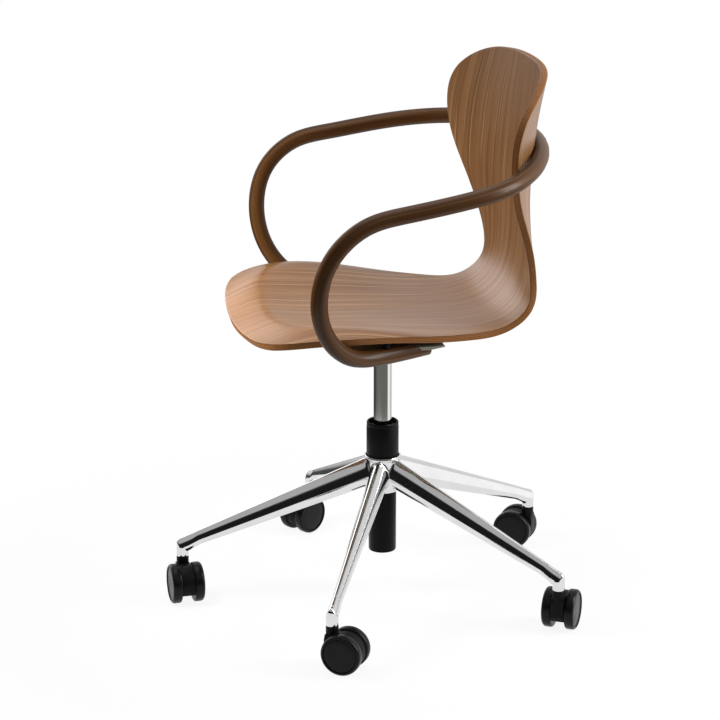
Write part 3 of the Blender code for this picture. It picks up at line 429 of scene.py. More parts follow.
class Graph:
    """Short names for adding and joining a material's nodes."""

    def __init__(self, made):
        self.tree = made.node_tree
        self.shader = self.tree.nodes.get("Principled BSDF")

    def node(self, kind, **settings):
        made = self.tree.nodes.new(kind)
        for key, value in settings.items():
            setattr(made, key, value)
        return made

    def join(self, source, target):
        self.tree.links.new(source, target)

    def scaled(self, source, scale, offset=(0, 0, 0)):
        made = self.node("ShaderNodeMapping")
        made.inputs["Scale"].default_value = scale
        made.inputs["Location"].default_value = offset
        self.join(source, made.inputs["Vector"])
        return made.outputs["Vector"]

    def noise(self, source, scale, detail=3.0, rough=0.55, distortion=0.0):
        made = self.node("ShaderNodeTexNoise")
        made.inputs["Scale"].default_value = scale
        made.inputs["Detail"].default_value = detail
        made.inputs["Roughness"].default_value = rough
        made.inputs["Distortion"].default_value = distortion
        self.join(source, made.inputs["Vector"])
        return made.outputs["Fac"]

    def ramp(self, source, stops):
        made = self.node("ShaderNodeValToRGB")
        elements = made.color_ramp.elements
        while len(elements) < len(stops):
            elements.new(0.5)
        for element, (place, colour) in zip(elements, stops):
            element.position = place
            element.color = (*colour, 1) if len(colour) == 3 else colour
        self.join(source, made.inputs["Fac"])
        return made.outputs["Color"]

    def level(self, source, low_in, high_in, low_out, high_out):
        made = self.node("ShaderNodeMapRange")
        made.inputs["From Min"].default_value = low_in
        made.inputs["From Max"].default_value = high_in
        made.inputs["To Min"].default_value = low_out
        made.inputs["To Max"].default_value = high_out
        self.join(source, made.inputs["Value"])
        return made.outputs["Result"]

    def mixed(self, share, first, second, blend="MIX"):
        made = self.node("ShaderNodeMix", data_type="RGBA", blend_type=blend)
        for socket, value in ((made.inputs["Factor"], share), (made.inputs["A"], first),
                              (made.inputs["B"], second)):
            if isinstance(value, (int, float)):
                socket.default_value = value
            elif isinstance(value, tuple):
                socket.default_value = (*value, 1)
            else:
                self.join(value, socket)
        return made.outputs["Result"]

    def math(self, operation, first, second):
        made = self.node("ShaderNodeMath", operation=operation)
        for socket, value in zip(made.inputs, (first, second)):
            if isinstance(value, (int, float)):
                socket.default_value = value
            else:
                self.join(value, socket)
        return made.outputs["Value"]

    def bump(self, height, strength, distance):
        made = self.node("ShaderNodeBump")
        made.inputs["Strength"].default_value = strength
        made.inputs["Distance"].default_value = distance
        self.join(height, made.inputs["Height"])
        self.join(made.outputs["Normal"], self.shader.inputs["Normal"])

    def seen(self):
        """1 for a ray from the camera, or one that a surface mirrors or lets through."""
        rays = self.node("ShaderNodeLightPath")
        straight = self.math("MAXIMUM", rays.outputs["Is Camera Ray"], rays.outputs["Is Transmission Ray"])
        return self.math("MAXIMUM", straight, rays.outputs["Is Glossy Ray"])

    def grain(self):
        return self.node("ShaderNodeAttribute", attribute_name="grain").outputs["Vector"]

    def place(self):
        return self.node("ShaderNodeTexCoord").outputs["Object"]


def wood(name, dark, middle, pale, streak, roughness, gloss, coat, seed=0.0):
    """Straight-grained wood read from the grain coordinates, in metres."""
    made = principled(name, middle, roughness=roughness, Specular_IOR_Level=gloss, Coat_Weight=coat,
                      Coat_Roughness=0.2)
    graph = Graph(made)
    grain = graph.grain()
    sway = graph.noise(graph.scaled(grain, (1, 0.35, 1), (seed, 0, 0)), 9, 1.0, 0.5)
    swayed = graph.node("ShaderNodeVectorMath", operation="MULTIPLY_ADD")
    swayed.inputs[1].default_value = (GRAIN_SWAY, 0, 0)
    graph.join(sway, swayed.inputs[0])
    graph.join(grain, swayed.inputs[2])

    def layer(stretch, scale, detail, rough, shift):
        drawn = graph.scaled(swayed.outputs["Vector"], (1, stretch, 1), (seed + shift, 0, 0))
        return graph.noise(drawn, scale, detail, rough)

    bands, lines, pores, streaks = (layer(*numbers) for numbers in (BANDS, LINES, PORES, STREAKS))
    colour = graph.ramp(bands, ((0.30, dark), (0.50, middle), (0.70, pale)))
    fine = graph.ramp(lines, ((0.32, (0.74, 0.70, 0.66)), (0.52, (1, 1, 1)), (0.70, (1.12, 1.10, 1.08))))
    colour = graph.mixed(0.8, colour, fine, "MULTIPLY")
    colour = graph.mixed(graph.level(streaks, 0.58, 0.66, 0.0, 0.60), colour, streak)
    pore_share = graph.level(pores, 0.62, 0.74, 0.0, 0.30)
    colour = graph.mixed(pore_share, colour, tuple(c * 0.45 for c in dark))
    graph.join(colour, graph.shader.inputs["Base Color"])
    graph.join(graph.level(lines, 0.3, 0.7, roughness - 0.05, roughness + 0.07),
               graph.shader.inputs["Roughness"])
    graph.bump(pores, 0.10, RELIEF)
    return made


def plywood_edge():
    """Edge of the plies: thin layers, end grain and long grain by turns."""
    made = principled("plywood_edge", (0.30, 0.13, 0.05), roughness=0.55, Specular_IOR_Level=0.2)
    graph = Graph(made)
    grain = graph.grain()
    split = graph.node("ShaderNodeSeparateXYZ")
    graph.join(grain, split.inputs["Vector"])
    turn = graph.node("ShaderNodeMath", operation="PINGPONG")
    turn.inputs[1].default_value = PLY_T
    graph.join(split.outputs["Z"], turn.inputs[0])
    layer = graph.level(turn.outputs["Value"], 0.35 * PLY_T, 0.65 * PLY_T, 0, 1)
    fibre = graph.noise(graph.scaled(grain, (1, 1, 0.3)), 900, 2.0, 0.6)
    end = graph.ramp(fibre, ((0.3, (0.13, 0.045, 0.009)), (0.7, (0.22, 0.082, 0.018))))
    long = graph.ramp(fibre, ((0.3, (0.22, 0.085, 0.020)), (0.7, (0.31, 0.135, 0.040))))
    faces = graph.mixed(graph.level(split.outputs["Z"], PLY_T * 0.6, PLY_T * 1.1, 0.0, 1.0),
                        (0.085, 0.032, 0.009), graph.mixed(layer, end, long))
    graph.join(faces, graph.shader.inputs["Base Color"])
    graph.bump(fibre, 0.15, RELIEF)
    return made


def metal(name, colour, roughness, spread, scale, stretch=(1, 1, 1), bump=0.0):
    """Metal whose roughness and tone vary a little over the surface."""
    made = principled(name, colour, metallic=1.0, roughness=roughness)
    graph = Graph(made)
    marks = graph.noise(graph.scaled(graph.place(), stretch), scale, 4.0, 0.6)
    graph.join(graph.level(marks, 0.3, 0.7, roughness - spread, roughness + spread),
               graph.shader.inputs["Roughness"])
    darker = tuple(c * 0.93 for c in colour)
    graph.join(graph.ramp(marks, ((0.35, darker), (0.65, colour))), graph.shader.inputs["Base Color"])
    if bump:
        graph.bump(marks, bump, RELIEF / 2)
    return made


def plastic(name, colour, worn, roughness, texture, strength, wear=0.0, gloss=0.5):
    """Moulded plastic with a fine spark-eroded texture and paler rubbed patches."""
    made = principled(name, colour, roughness=roughness, Specular_IOR_Level=gloss)
    graph = Graph(made)
    place = graph.place()
    cloud = graph.noise(place, 60, 4.0, 0.6)
    fine = graph.noise(place, texture, 2.0, 0.5)
    graph.join(graph.level(cloud, 0.3, 0.7, roughness - 0.06, roughness + 0.08),
               graph.shader.inputs["Roughness"])
    graph.join(graph.mixed(graph.level(cloud, 0.5, 0.8, 0.0, wear), colour, worn),
               graph.shader.inputs["Base Color"])
    graph.bump(fine, strength, RELIEF)
    return made


LOOKS = {
    "walnut_veneer": wood("walnut_veneer", (0.145, 0.062, 0.020), (0.230, 0.104, 0.036),
                          (0.292, 0.146, 0.058), (0.43, 0.255, 0.13), 0.33, 0.42, 0.0),
    "bent_wood": wood("bent_wood", (0.045, 0.0165, 0.0035), (0.074, 0.0295, 0.0072),
                      (0.106, 0.045, 0.0135), (0.145, 0.068, 0.025), 0.44, 0.12, 0.16, seed=5.0),
    "plywood_edge": plywood_edge(),
    "polished_aluminium": metal("polished_aluminium", (0.76, 0.76, 0.765), 0.07, 0.02, 25),
    "satin_steel": metal("satin_steel", (0.70, 0.70, 0.66), 0.10, 0.03, 90, (1, 1, 0.06), 0.02),
    "zinc_steel": metal("zinc_steel", (0.52, 0.52, 0.50), 0.38, 0.08, 140),
    "grey_steel": plastic("grey_steel", (0.26, 0.26, 0.205), (0.32, 0.32, 0.26), 0.45, 900, 0.12, 0.4),
    "black_paint": plastic("black_paint", (0.0035, 0.0035, 0.0035), (0.006, 0.006, 0.006), 0.32, 700, 0.05,
                           0.3, gloss=0.07),
    "black_plastic": plastic("black_plastic", (0.004, 0.004, 0.004), (0.009, 0.009, 0.009), 0.42, 1500,
                             0.12, 0.4, gloss=0.10),
    "wheel_plastic": plastic("wheel_plastic", (0.0035, 0.0035, 0.004), (0.008, 0.008, 0.009), 0.30, 1300,
                             0.10, 0.5, gloss=0.16),
    "rubber": plastic("rubber", (0.006, 0.006, 0.006), (0.011, 0.011, 0.011), 0.70, 1100, 0.2, 0.4,
                      gloss=0.12),
}


def finish_piece(piece, body, slot, *nodes):
    """Put a finished piece on its body, in place of its CAD nodes."""
    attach(piece, body)
    if nodes:
        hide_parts(*nodes)
    return piece


# Plywood shell

def shell_surface():
    """Upper and front face of the shell, subdivided, with its grain coordinates."""
    last = len(SHELL_STATIONS) - 1
    rows = []
    for index, station in enumerate(SHELL_STATIONS):
        side = Vector((station.side_x, station.side_y, station.side_z))
        centre = Vector((0, station.centre_y, station.centre_z))
        spread = Vector((0, side.y - centre.y, side.z - centre.z))
        if station.crest:
            mid = Vector(station.crest)
        else:
            mid = centre + spread * DISH_MID + Vector((side.x / 2, 0, 0))
        if index not in (0, last):
            centre = (centre * 3 - Vector((0, mid.y, mid.z))) / 2
        rows.append((centre, mid, side))
    points = []
    grain = []
    along = 0.0
    for index, (centre, mid, side) in enumerate(rows):
        if index:
            along += (centre - rows[index - 1][0]).length
        row = [side, mid, centre]
        for sign in (-1, 1):
            for point in (row if sign < 0 else reversed(row[:2])):
                points.append((sign * point.x, point.y, point.z))
                grain.append((sign * point.x, along, 0.0))
    width = CAGE_WIDTH
    faces = []
    for row in range(last):
        for column in range(width - 1):
            corner = row * width + column
            faces.append((corner, corner + 1, corner + 1 + width, corner + width))
    mesh = bpy.data.meshes.new("shell_cage")
    mesh.from_pydata(points, [], faces)
    set_grain(mesh, grain)
    folds = {frozenset((width + column, width + column + 1)): FRONT_FOLD for column in (1, 2)}
    for row, fold in enumerate(SIDE_FOLDS, 1):
        for column in (1, 3):
            folds[frozenset((row * width + column, (row + 1) * width + column))] = fold
    layer = mesh.attributes.new("crease_edge", "FLOAT", "EDGE")
    for edge in mesh.edges:
        layer.data[edge.index].value = folds.get(frozenset(edge.vertices), 0.0)
    cage = link("shell_cage", mesh)
    form = cage.modifiers.new("form", "SUBSURF")
    form.levels = SHELL_LEVELS
    form.render_levels = SHELL_LEVELS
    form.boundary_smooth = "ALL"
    surface = evaluated(cage)
    drop(cage)
    return surface


def shell_solid(name, surface, thickness, offset, rounding):
    """The surface as a sheet of plywood, its edge rounded when a rounding is given."""
    solid = link(name, surface.copy())
    wall = solid.modifiers.new("plies", "SOLIDIFY")
    wall.thickness = thickness
    wall.offset = offset
    wall.use_even_offset = True
    wall.material_offset_rim = 1
    if rounding:
        bevel(solid, rounding, 3, 50)
    mesh = evaluated(solid)
    drop(solid)
    return mesh


def build_shell():
    surface = shell_surface()
    surface.materials.append(LOOKS["walnut_veneer"])
    surface.materials.append(LOOKS["plywood_edge"])
    mesh = shell_solid("seat_shell_draft", surface, SHELL_T, -1, SHELL_ROUNDING)
    work = bmesh.new()
    work.from_mesh(surface)
    tree = BVHTree.FromBMesh(work)
    work.free()
    grain = np.empty(len(mesh.vertices) * 3, dtype=np.float32)
    mesh.attributes["grain"].data.foreach_get("vector", grain)
    grain = grain.reshape(-1, 3)
    for vertex in mesh.vertices:
        grain[vertex.index, 0] = vertex.co.x
        grain[vertex.index, 2] = tree.find_nearest(vertex.co)[3]
    set_grain(mesh, grain)
    shell = link("shell", mesh, location=COLUMN)
    baked(shell)
    smooth(shell.data, SHELL_SHARP_ANGLE)
    finish_piece(shell, "seat", "walnut_veneer", "seat_shell")
    thickness = SHELL_T + 2 * GAP
    keepout = link("shell_keepout", shell_solid("keepout", surface, thickness, -SHELL_T / thickness, 0))
    keepout.location = COLUMN
    return keepout


# Arm loop

def loop_curve(name, radius, sides):
    route = [*LOOP_HALF, *((-x, y, z) for x, y, z in reversed(LOOP_HALF[:-1]))]
    curve = bpy.data.curves.new(name, "CURVE")
    curve.dimensions = "3D"
    curve.bevel_depth = radius
    curve.bevel_resolution = sides
    curve.use_fill_caps = radius > 0
    curve.twist_mode = "MINIMUM"
    line = curve.splines.new("NURBS")
    line.points.add(len(route) - 1)
    for slot, point in zip(line.points, route):
        slot.co = (*point, 1)
    line.order_u = 4
    line.use_endpoint_u = True
    line.resolution_u = LOOP_STEPS
    curve.resolution_u = LOOP_STEPS
    draft = link(name, curve)
    mesh = evaluated(draft)
    drop(draft)
    return mesh


def rod_grain(points, path):
    """Coordinates of points in a straightened rod: aside, along and aside again."""
    steps = np.diff(path, axis=0)
    lengths = np.linalg.norm(steps, axis=1)
    along = np.concatenate(([0.0], np.cumsum(lengths)))
    tangents = np.gradient(path, axis=0)
    tangents /= np.linalg.norm(tangents, axis=1)[:, None]
    sides = np.empty_like(tangents)
    side = np.cross(tangents[0], (0.0, 0.0, 1.0))
    for index, tangent in enumerate(tangents):
        side = side - tangent * side.dot(tangent)
        side /= np.linalg.norm(side)
        sides[index] = side
    ups = np.cross(tangents, sides)
    result = np.empty_like(points)
    for start in range(0, len(points), GRAIN_BLOCK):
        block = slice(start, start + GRAIN_BLOCK)
        part = points[block]
        nearest = np.linalg.norm(part[:, None] - path[None], axis=2).argmin(axis=1)
        away = part - path[nearest]
        result[block, 0] = (away * sides[nearest]).sum(axis=1)
        result[block, 1] = along[nearest] + (away * tangents[nearest]).sum(axis=1)
        result[block, 2] = (away * ups[nearest]).sum(axis=1)
    return result


def build_loop(keepout):
    mesh = loop_curve("arm_rod", LOOP_R, LOOP_SIDES)
    outward(mesh)
    loop = link("arm_rod", mesh, LOOKS["bent_wood"], COLUMN)
    top = LOOP_FLAT_Z + 2 * LOOP_R
    side_view = [(LOOP_FLAT_FRONT_Y, LOOP_FLAT_Z), (LOOP_FLAT_FRONT_Y - LOOP_FLAT_RAMP, top),
                 (LOOP_FLAT_BACK_Y, top), (LOOP_FLAT_BACK_Y, LOOP_FLAT_Z)]
    near, far = LOOP_FLAT_X
    flat = outline_mesh("loop_flat", side_view, far - near)
    flat.transform(YZ_PLANE)
    flats = [link(f"loop_flat_{side}", flat, None, COLUMN + Vector((side * (far + near) / 2, 0, 0)))
             for side in (1, -1)]
    for cutter in (*flats, keepout):
        boolean(loop, cutter, "DIFFERENCE")
    bevel(loop, LOOP_EDGE, 2, 40)
    baked(loop)
    drop(*flats)
    path = np.array([vertex.co[:] for vertex in loop_curve("arm_path", 0, 0).vertices])
    points = np.array([vertex.co[:] for vertex in loop.data.vertices]) - np.array(COLUMN)
    set_grain(loop.data, rod_grain(points, path))
    finish_piece(loop, "seat", "bent_wood", "arm_loop")


# Star base

def arm_profile():
    """Closed section of an arm at the hub, its corners rounded."""
    return rounded_outline([*((-x, y) for x, y in reversed(ARM_SECTION)), *ARM_SECTION], ARM_CORNER)


def arm_mesh():
    """One arm along +X: straight to its first station, then flaring towards the socket."""
    section = arm_profile()
    first_before, first_height, first_scale = ARM_STATIONS[0]
    stations = []
    for index in range(ARM_SPANS):
        share = index / ARM_SPANS
        stations.append((ARM_START_R + (STEM_RADIUS - first_before - ARM_START_R) * share,
                         ARM_START_Z + (first_height - ARM_START_Z) * share, 1 + (first_scale - 1) * share))
    stations += [(STEM_RADIUS - before, height, scale) for before, height, scale in ARM_STATIONS]
    tilt = Vector((first_height - ARM_START_Z, 0, ARM_START_R - STEM_RADIUS + first_before)).normalized()
    spans = len(stations) - 1
    points = []
    for reach, height, scale in stations:
        upright = share_of((first_before - (STEM_RADIUS - reach)) / first_before)
        lean = tilt.lerp(Vector((0, 0, -1)), upright).normalized()
        points += [Vector((reach, -x * scale, height)) - lean * y * scale for x, y in section]
    count = len(section)
    faces = []
    for index in range(spans):
        for slot in range(count):
            corner = index * count + slot
            beside = index * count + (slot + 1) % count
            faces.append((corner, beside, beside + count, corner + count))
    faces.append(tuple(range(count)))
    faces.append(tuple(range(spans * count, (spans + 1) * count)))
    mesh = bpy.data.meshes.new("base_arm")
    mesh.from_pydata(points, [], faces)
    outward(mesh)
    return mesh


def arm_end_mesh():
    """Upright round post with a rounded top that bounds the arm beyond the stem."""
    post_r = SOCKET_R - GAP
    flat_r = post_r - ARM_DOME_R
    dome = [(flat_r + ARM_DOME_R * math.cos(a), ARM_DOME_Z + ARM_DOME_R * (math.sin(a) - 1))
            for a in DOME_ARC]
    return turned_mesh("arm_end", [(0, ARM_DOME_Z), *dome, (post_r, 0), (0, 0)], 48)


def soften_fillets(base):
    """Blend the arms into the hub: smooth only the corners between them, and not the machined rings."""
    group = base.vertex_groups.new(name="fillets")
    low, high = FILLET_Z
    for vertex in base.data.vertices:
        x, y, z = vertex.co - COLUMN
        reach = math.hypot(x, y)
        outer = share_of((FILLET_R - reach) / FILLET_OUTER_FADE)
        inner = share_of((reach - HUB_R + FILLET_INNER_REACH) / FILLET_INNER_FADE)
        level = share_of((z - low) / FILLET_LOW_FADE) * share_of((high - z) / FILLET_HIGH_FADE)
        if outer * inner * level:
            group.add((vertex.index,), outer * inner * level, "REPLACE")
    smoothing(base, FILLET_SMOOTHING, group.name)


def sharpen_arms(base, exact):
    """Draw the arms back onto their planed shape, which the even grid leaves in small steps."""
    arms = base.vertex_groups.new(name="arms")
    start, full, fade, end = ARM_SHARP_R
    for vertex in base.data.vertices:
        reach = (vertex.co - COLUMN).xy.length
        share = min((reach - start) / (full - start), 1.0, (end - reach) / (end - fade))
        if share > 0:
            arms.add([vertex.index], share, "REPLACE")
    wrap = base.modifiers.new("wrap", "SHRINKWRAP")
    wrap.target = exact
    wrap.wrap_method = "NEAREST_SURFACEPOINT"
    wrap.vertex_group = arms.name
    smoothing(base, ARM_ROUNDING, arms.name)
    baked(base)


def build_base():
    bore = TUBE_UPPER_R + 3 * GAP
    collar_bore = COLLAR_R + 3 * GAP
    hub = turned_mesh("hub", (
        (collar_bore, HUB_TOP_Z), (HUB_RIM_R - COLLAR_EDGE, HUB_TOP_Z),
        (HUB_RIM_R, HUB_TOP_Z - COLLAR_EDGE), (HUB_RIM_R, HUB_COLLAR_SEAT_Z),
        (HUB_R, HUB_COLLAR_SEAT_Z - COLLAR_EDGE), (HUB_R, HUB_BOTTOM_Z + 3 * COLLAR_EDGE),
        (HUB_FOOT_R, HUB_BOTTOM_Z), (TUBE_LOWER_R + 4 * GAP, HUB_BOTTOM_Z), (bore, HUB_COLLAR_SEAT_Z),
        (collar_bore, HUB_COLLAR_SEAT_Z), (collar_bore, HUB_TOP_Z)))
    base = link("base_casting", hub, LOOKS["polished_aluminium"], COLUMN)
    socket = cylinder_mesh("socket", SOCKET_R, SOCKET_BOTTOM_Z, SOCKET_TOP_Z, 48)
    root = link("arm_root", arm_mesh())
    hollow = link("arm_root_bore", cylinder_mesh("arm_root_bore", (bore + HUB_R) / 2, 0, CUTTER_TOP_Z, 72))
    end = link("arm_end", arm_end_mesh(), None, (STEM_RADIUS, 0, 0))
    room = ((0, -HUB_R), (STEM_RADIUS, -HUB_R), (STEM_RADIUS, HUB_R), (0, HUB_R))
    whole = link("arm_body", outline_mesh("arm_body", room, 2 * HUB_TOP_Z + 2 * HUB_R))
    boolean(end, whole, "UNION")
    boolean(root, hollow, "DIFFERENCE")
    boolean(root, end, "INTERSECT")
    trimmed = evaluated(root)
    drop(root, hollow, end, whole)
    extras = []
    for index in range(ARM_COUNT):
        yaw = ARM_YAW + index * math.tau / ARM_COUNT
        there = COLUMN + Vector((STEM_RADIUS * math.cos(yaw), STEM_RADIUS * math.sin(yaw), 0))
        limb = link(f"arm_{index}", trimmed, None, COLUMN, yaw)
        foot = link(f"socket_{index}", socket, None, there, yaw)
        drill = cylinder_mesh("stem_hole", STEM_R + 3 * GAP, SOCKET_BOTTOM_Z - GAP, SOCKET_BORE_TOP_Z)
        hole = link(f"stem_hole_{index}", drill, None, there)
        boolean(base, limb, "UNION")
        boolean(base, foot, "UNION")
        boolean(base, hole, "DIFFERENCE")
        extras += [limb, foot, hole]
    exact = link("exact_casting", evaluated(base), None, COLUMN)
    blend = base.modifiers.new("blend", "REMESH")
    blend.mode = "VOXEL"
    blend.voxel_size = BASE_VOXEL * 1
    smoothing(base, BASE_SMOOTHING)
    baked(base)
    drop(*extras)
    soften_fillets(base)
    sharpen_arms(base, exact)
    drop(exact)
    thin = base.modifiers.new("thin", "DECIMATE")
    thin.ratio = BASE_THINNING
    baked(base)
    base.data.shade_smooth()
    base.data.materials.clear()
    base.data.materials.append(LOOKS["polished_aluminium"])
    finish_piece(base, "base", "polished_aluminium", "star_base")


# Column

def build_column():
    low_tube, high_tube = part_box("column_tube")
    tube_r = (high_tube[0] - low_tube[0]) / 2
    foot = low_tube[2]
    top = high_tube[2]
    foot_bevel = TUBE_FOOT_EDGE * 0.3
    tube = link("column_tube_fine", turned_mesh("column_tube_fine", (
        (tube_r, top), (tube_r, HUB_COLLAR_SEAT_Z), (TUBE_LOWER_R, HUB_BOTTOM_Z),
        (TUBE_LOWER_R, foot + TUBE_FOOT_EDGE), (TUBE_LOWER_R - foot_bevel, foot + foot_bevel),
        (TUBE_LOWER_R - TUBE_FOOT_EDGE, foot), (ROD_R + 2 * GAP, foot),
        (ROD_R + 2 * GAP, foot + TUBE_FLOOR_T), (TUBE_BORE_R, foot + TUBE_FLOOR_T),
        (TUBE_BORE_R, TUBE_SHELF_Z), (TUBE_WIDE_BORE_R, TUBE_SHELF_Z), (TUBE_WIDE_BORE_R, top),
        (tube_r, top))), LOOKS["black_paint"], COLUMN)
    finish_piece(baked(tube), "base", "black_paint", "column_tube")

    low_ring, high_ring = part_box("column_collar")
    ring_r = (high_ring[0] - low_ring[0]) / 2
    ring_top = high_ring[2]
    bore = tube_r + GAP
    groove_r = ring_r - COLLAR_GROOVE_DEPTH
    groove_top = COLLAR_GROOVE_Z + COLLAR_GROOVE_H
    collar = link("collar_fine", turned_mesh("collar_fine", (
        (ring_r - COLLAR_EDGE, ring_top), (ring_r - COLLAR_TOP_INSET, ring_top - COLLAR_EDGE),
        (ring_r - COLLAR_TOP_INSET, groove_top), (groove_r, groove_top),
        (groove_r, COLLAR_GROOVE_Z + COLLAR_GROOVE_H * 0.3), (ring_r, COLLAR_GROOVE_Z),
        (ring_r, HUB_COLLAR_SEAT_Z + GAP), (bore, HUB_COLLAR_SEAT_Z + GAP), (bore, top + 2 * GAP),
        (COLLAR_LIP_R, top + 2 * GAP), (COLLAR_LIP_R, ring_top - COLLAR_EDGE),
        (COLLAR_LIP_R + COLLAR_EDGE, ring_top), (ring_r - COLLAR_EDGE, ring_top)), rounding=COLLAR_ROUNDING),
        LOOKS["black_plastic"], COLUMN)
    finish_piece(baked(collar), "base", "black_plastic", "column_collar")

    low_bush, high_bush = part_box("guide_bush")
    bush_r = (high_bush[0] - low_bush[0]) / 2
    cyl_low, cyl_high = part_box("gas_cylinder")
    cyl_r = (cyl_high[0] - cyl_low[0]) / 2
    bush = link("bush_fine", turned_mesh("bush_fine", (
        (bush_r, high_bush[2]), (bush_r, top + GAP), (BUSH_SLEEVE_R, top + GAP),
        (BUSH_SLEEVE_R, low_bush[2]), (cyl_r + GAP, low_bush[2]),
        (cyl_r + GAP, high_bush[2] - BUSH_MOUTH_DEPTH), (cyl_r + BUSH_MOUTH_FLARE, high_bush[2]),
        (bush_r, high_bush[2])), rounding=BUSH_ROUNDING), LOOKS["black_plastic"], COLUMN)
    finish_piece(baked(bush), "base", "black_plastic", "guide_bush")

    cylinder = link("cylinder_fine", turned_mesh("cylinder_fine", (
        (0, cyl_high[2]), (cyl_r - CYLINDER_EDGE, cyl_high[2]), (cyl_r, cyl_high[2] - CYLINDER_EDGE),
        (cyl_r, cyl_low[2] + CYLINDER_EDGE), (cyl_r - CYLINDER_EDGE, cyl_low[2]), (0, cyl_low[2])), 96),
        LOOKS["satin_steel"], COLUMN)
    finish_piece(baked(cylinder), "seat", "satin_steel", "gas_cylinder")


# Casters

def wheel_mesh():
    """Wheel about +Z, outer face up, with a blind bore for its axle."""
    return turned_mesh("wheel_fine", (
        *WHEEL_OUTSIDE, (AXLE_R + GAP, 0), (AXLE_R + GAP, AXLE_DEPTH + 2 * GAP),
        (0, AXLE_DEPTH + 2 * GAP)), 72, WHEEL_ROUNDING)


def caster_body_mesh():
    hood = [(HOOD_R * math.cos(a) - CASTER_TRAIL, HOOD_R * math.sin(a) + WHEEL_R) for a in HOOD_ARC]
    outline = outline_mesh("caster_outline", [*CASTER_OUTLINE, *hood], CASTER_BODY_W)
    outline.transform(Matrix.Rotation(math.pi / 2, 4, "X"))
    body = link("caster_draft", outline)
    bevel(body, CASTER_ROUNDING, 3, 20)
    neck_top = SOCKET_BOTTOM_Z - GAP
    neck = link("caster_neck", turned_mesh("caster_neck", (
        (0, neck_top), (NECK_R - NECK_EDGE, neck_top), (NECK_R, neck_top - NECK_EDGE),
        (NECK_R, NECK_BOTTOM_Z), (0, NECK_BOTTOM_Z)), 40))
    stem = link("stem_bore", cylinder_mesh("stem_bore", STEM_R + GAP, STEM_BOTTOM_Z, SOCKET_BOTTOM_Z))
    axle = link("axle_bore", cylinder_mesh("axle_bore", AXLE_R + GAP, -CASTER_BODY_W, CASTER_BODY_W))
    axle.rotation_euler = (math.pi / 2, 0, 0)
    axle.location = (-CASTER_TRAIL, 0, WHEEL_R)
    boolean(body, neck, "UNION")
    boolean(body, stem, "DIFFERENCE")
    boolean(body, axle, "DIFFERENCE")
    mesh = evaluated(body)
    drop(body, neck, stem, axle)
    smooth(mesh)
    return mesh


def build_casters():
    body = caster_body_mesh()
    wheel = wheel_mesh()
    joints = {joint["name"]: joint for joint in frame["joints"]}
    for number in range(1, ARM_COUNT + 1):
        swivel = joints[f"caster_{number}_swivel"]
        place = Vector(swivel["pos_m"])
        axle = Vector(joints[f"wheel_{number}a_roll"]["pos_m"])
        trail = axle - place
        yaw = math.atan2(trail.y, trail.x) + math.pi
        fine = link(f"caster_{number}_housing", body.copy(), LOOKS["black_plastic"],
                    (place.x, place.y, 0), yaw)
        finish_piece(baked(fine), f"caster_{number}", "black_plastic", f"caster_{number}_body")
        turn = Matrix.Translation(axle) @ Matrix.Rotation(yaw, 4, "Z")
        for side, letter in ((1, "a"), (-1, "b")):
            disc = link(f"caster_{number}_tyre_{letter}", wheel.copy(), LOOKS["wheel_plastic"])
            disc.matrix_world = (turn @ Matrix.Translation((0, side * (CASTER_BODY_W / 2 + GAP), 0))
                                 @ Matrix.Rotation(-side * math.pi / 2, 4, "X"))
            finish_piece(baked(disc), f"wheel_{number}{letter}", "wheel_plastic",
                         f"caster_{number}_wheel_{letter}")


# Nodes that keep their shape

def dress_nodes():
    slots = {part["node"]: part["material_slot"] for part in frame["record"]["subparts"]}
    for node, piece in frame["nodes"].items():
        look = LOOKS[slots[node]]
        if not piece.material_slots:
            piece.data.materials.append(look)
        for slot in piece.material_slots:
            slot.material = look


# Studio

def studio_side(aside, away, up):
    """Direction by the camera's view: to its right, away from it and up."""
    right = Vector((math.cos(VIEW_AZIMUTH), math.sin(VIEW_AZIMUTH), 0))
    ahead = Vector((-math.sin(VIEW_AZIMUTH), math.cos(VIEW_AZIMUTH), 0))
    return right * aside + ahead * away + Vector((0, 0, up))


def build_floor():
    """White sweep that keeps a faint shadow of the chair and fades into the white beyond it."""
    look = principled("floor", FLOOR_COLOUR, roughness=0.9, Specular_IOR_Level=0.0)
    graph = Graph(look)
    length = graph.node("ShaderNodeVectorMath", operation="LENGTH")
    graph.join(graph.place(), length.inputs[0])
    white = graph.level(length.outputs["Value"], *FLOOR_FADE, *FLOOR_WHITE)
    glow = graph.node("ShaderNodeEmission")
    choose = graph.node("ShaderNodeMixShader")
    graph.join(graph.math("MULTIPLY", graph.seen(), white), choose.inputs["Fac"])
    graph.join(graph.shader.outputs["BSDF"], choose.inputs[1])
    graph.join(glow.outputs["Emission"], choose.inputs[2])
    graph.join(choose.outputs["Shader"], graph.tree.nodes["Material Output"].inputs["Surface"])
    work = bmesh.new()
    bmesh.ops.create_circle(work, cap_ends=True, segments=96, radius=FLOOR_R)
    mesh = bpy.data.meshes.new("floor")
    work.to_mesh(mesh)
    work.free()
    link("floor", mesh, look, COLUMN)


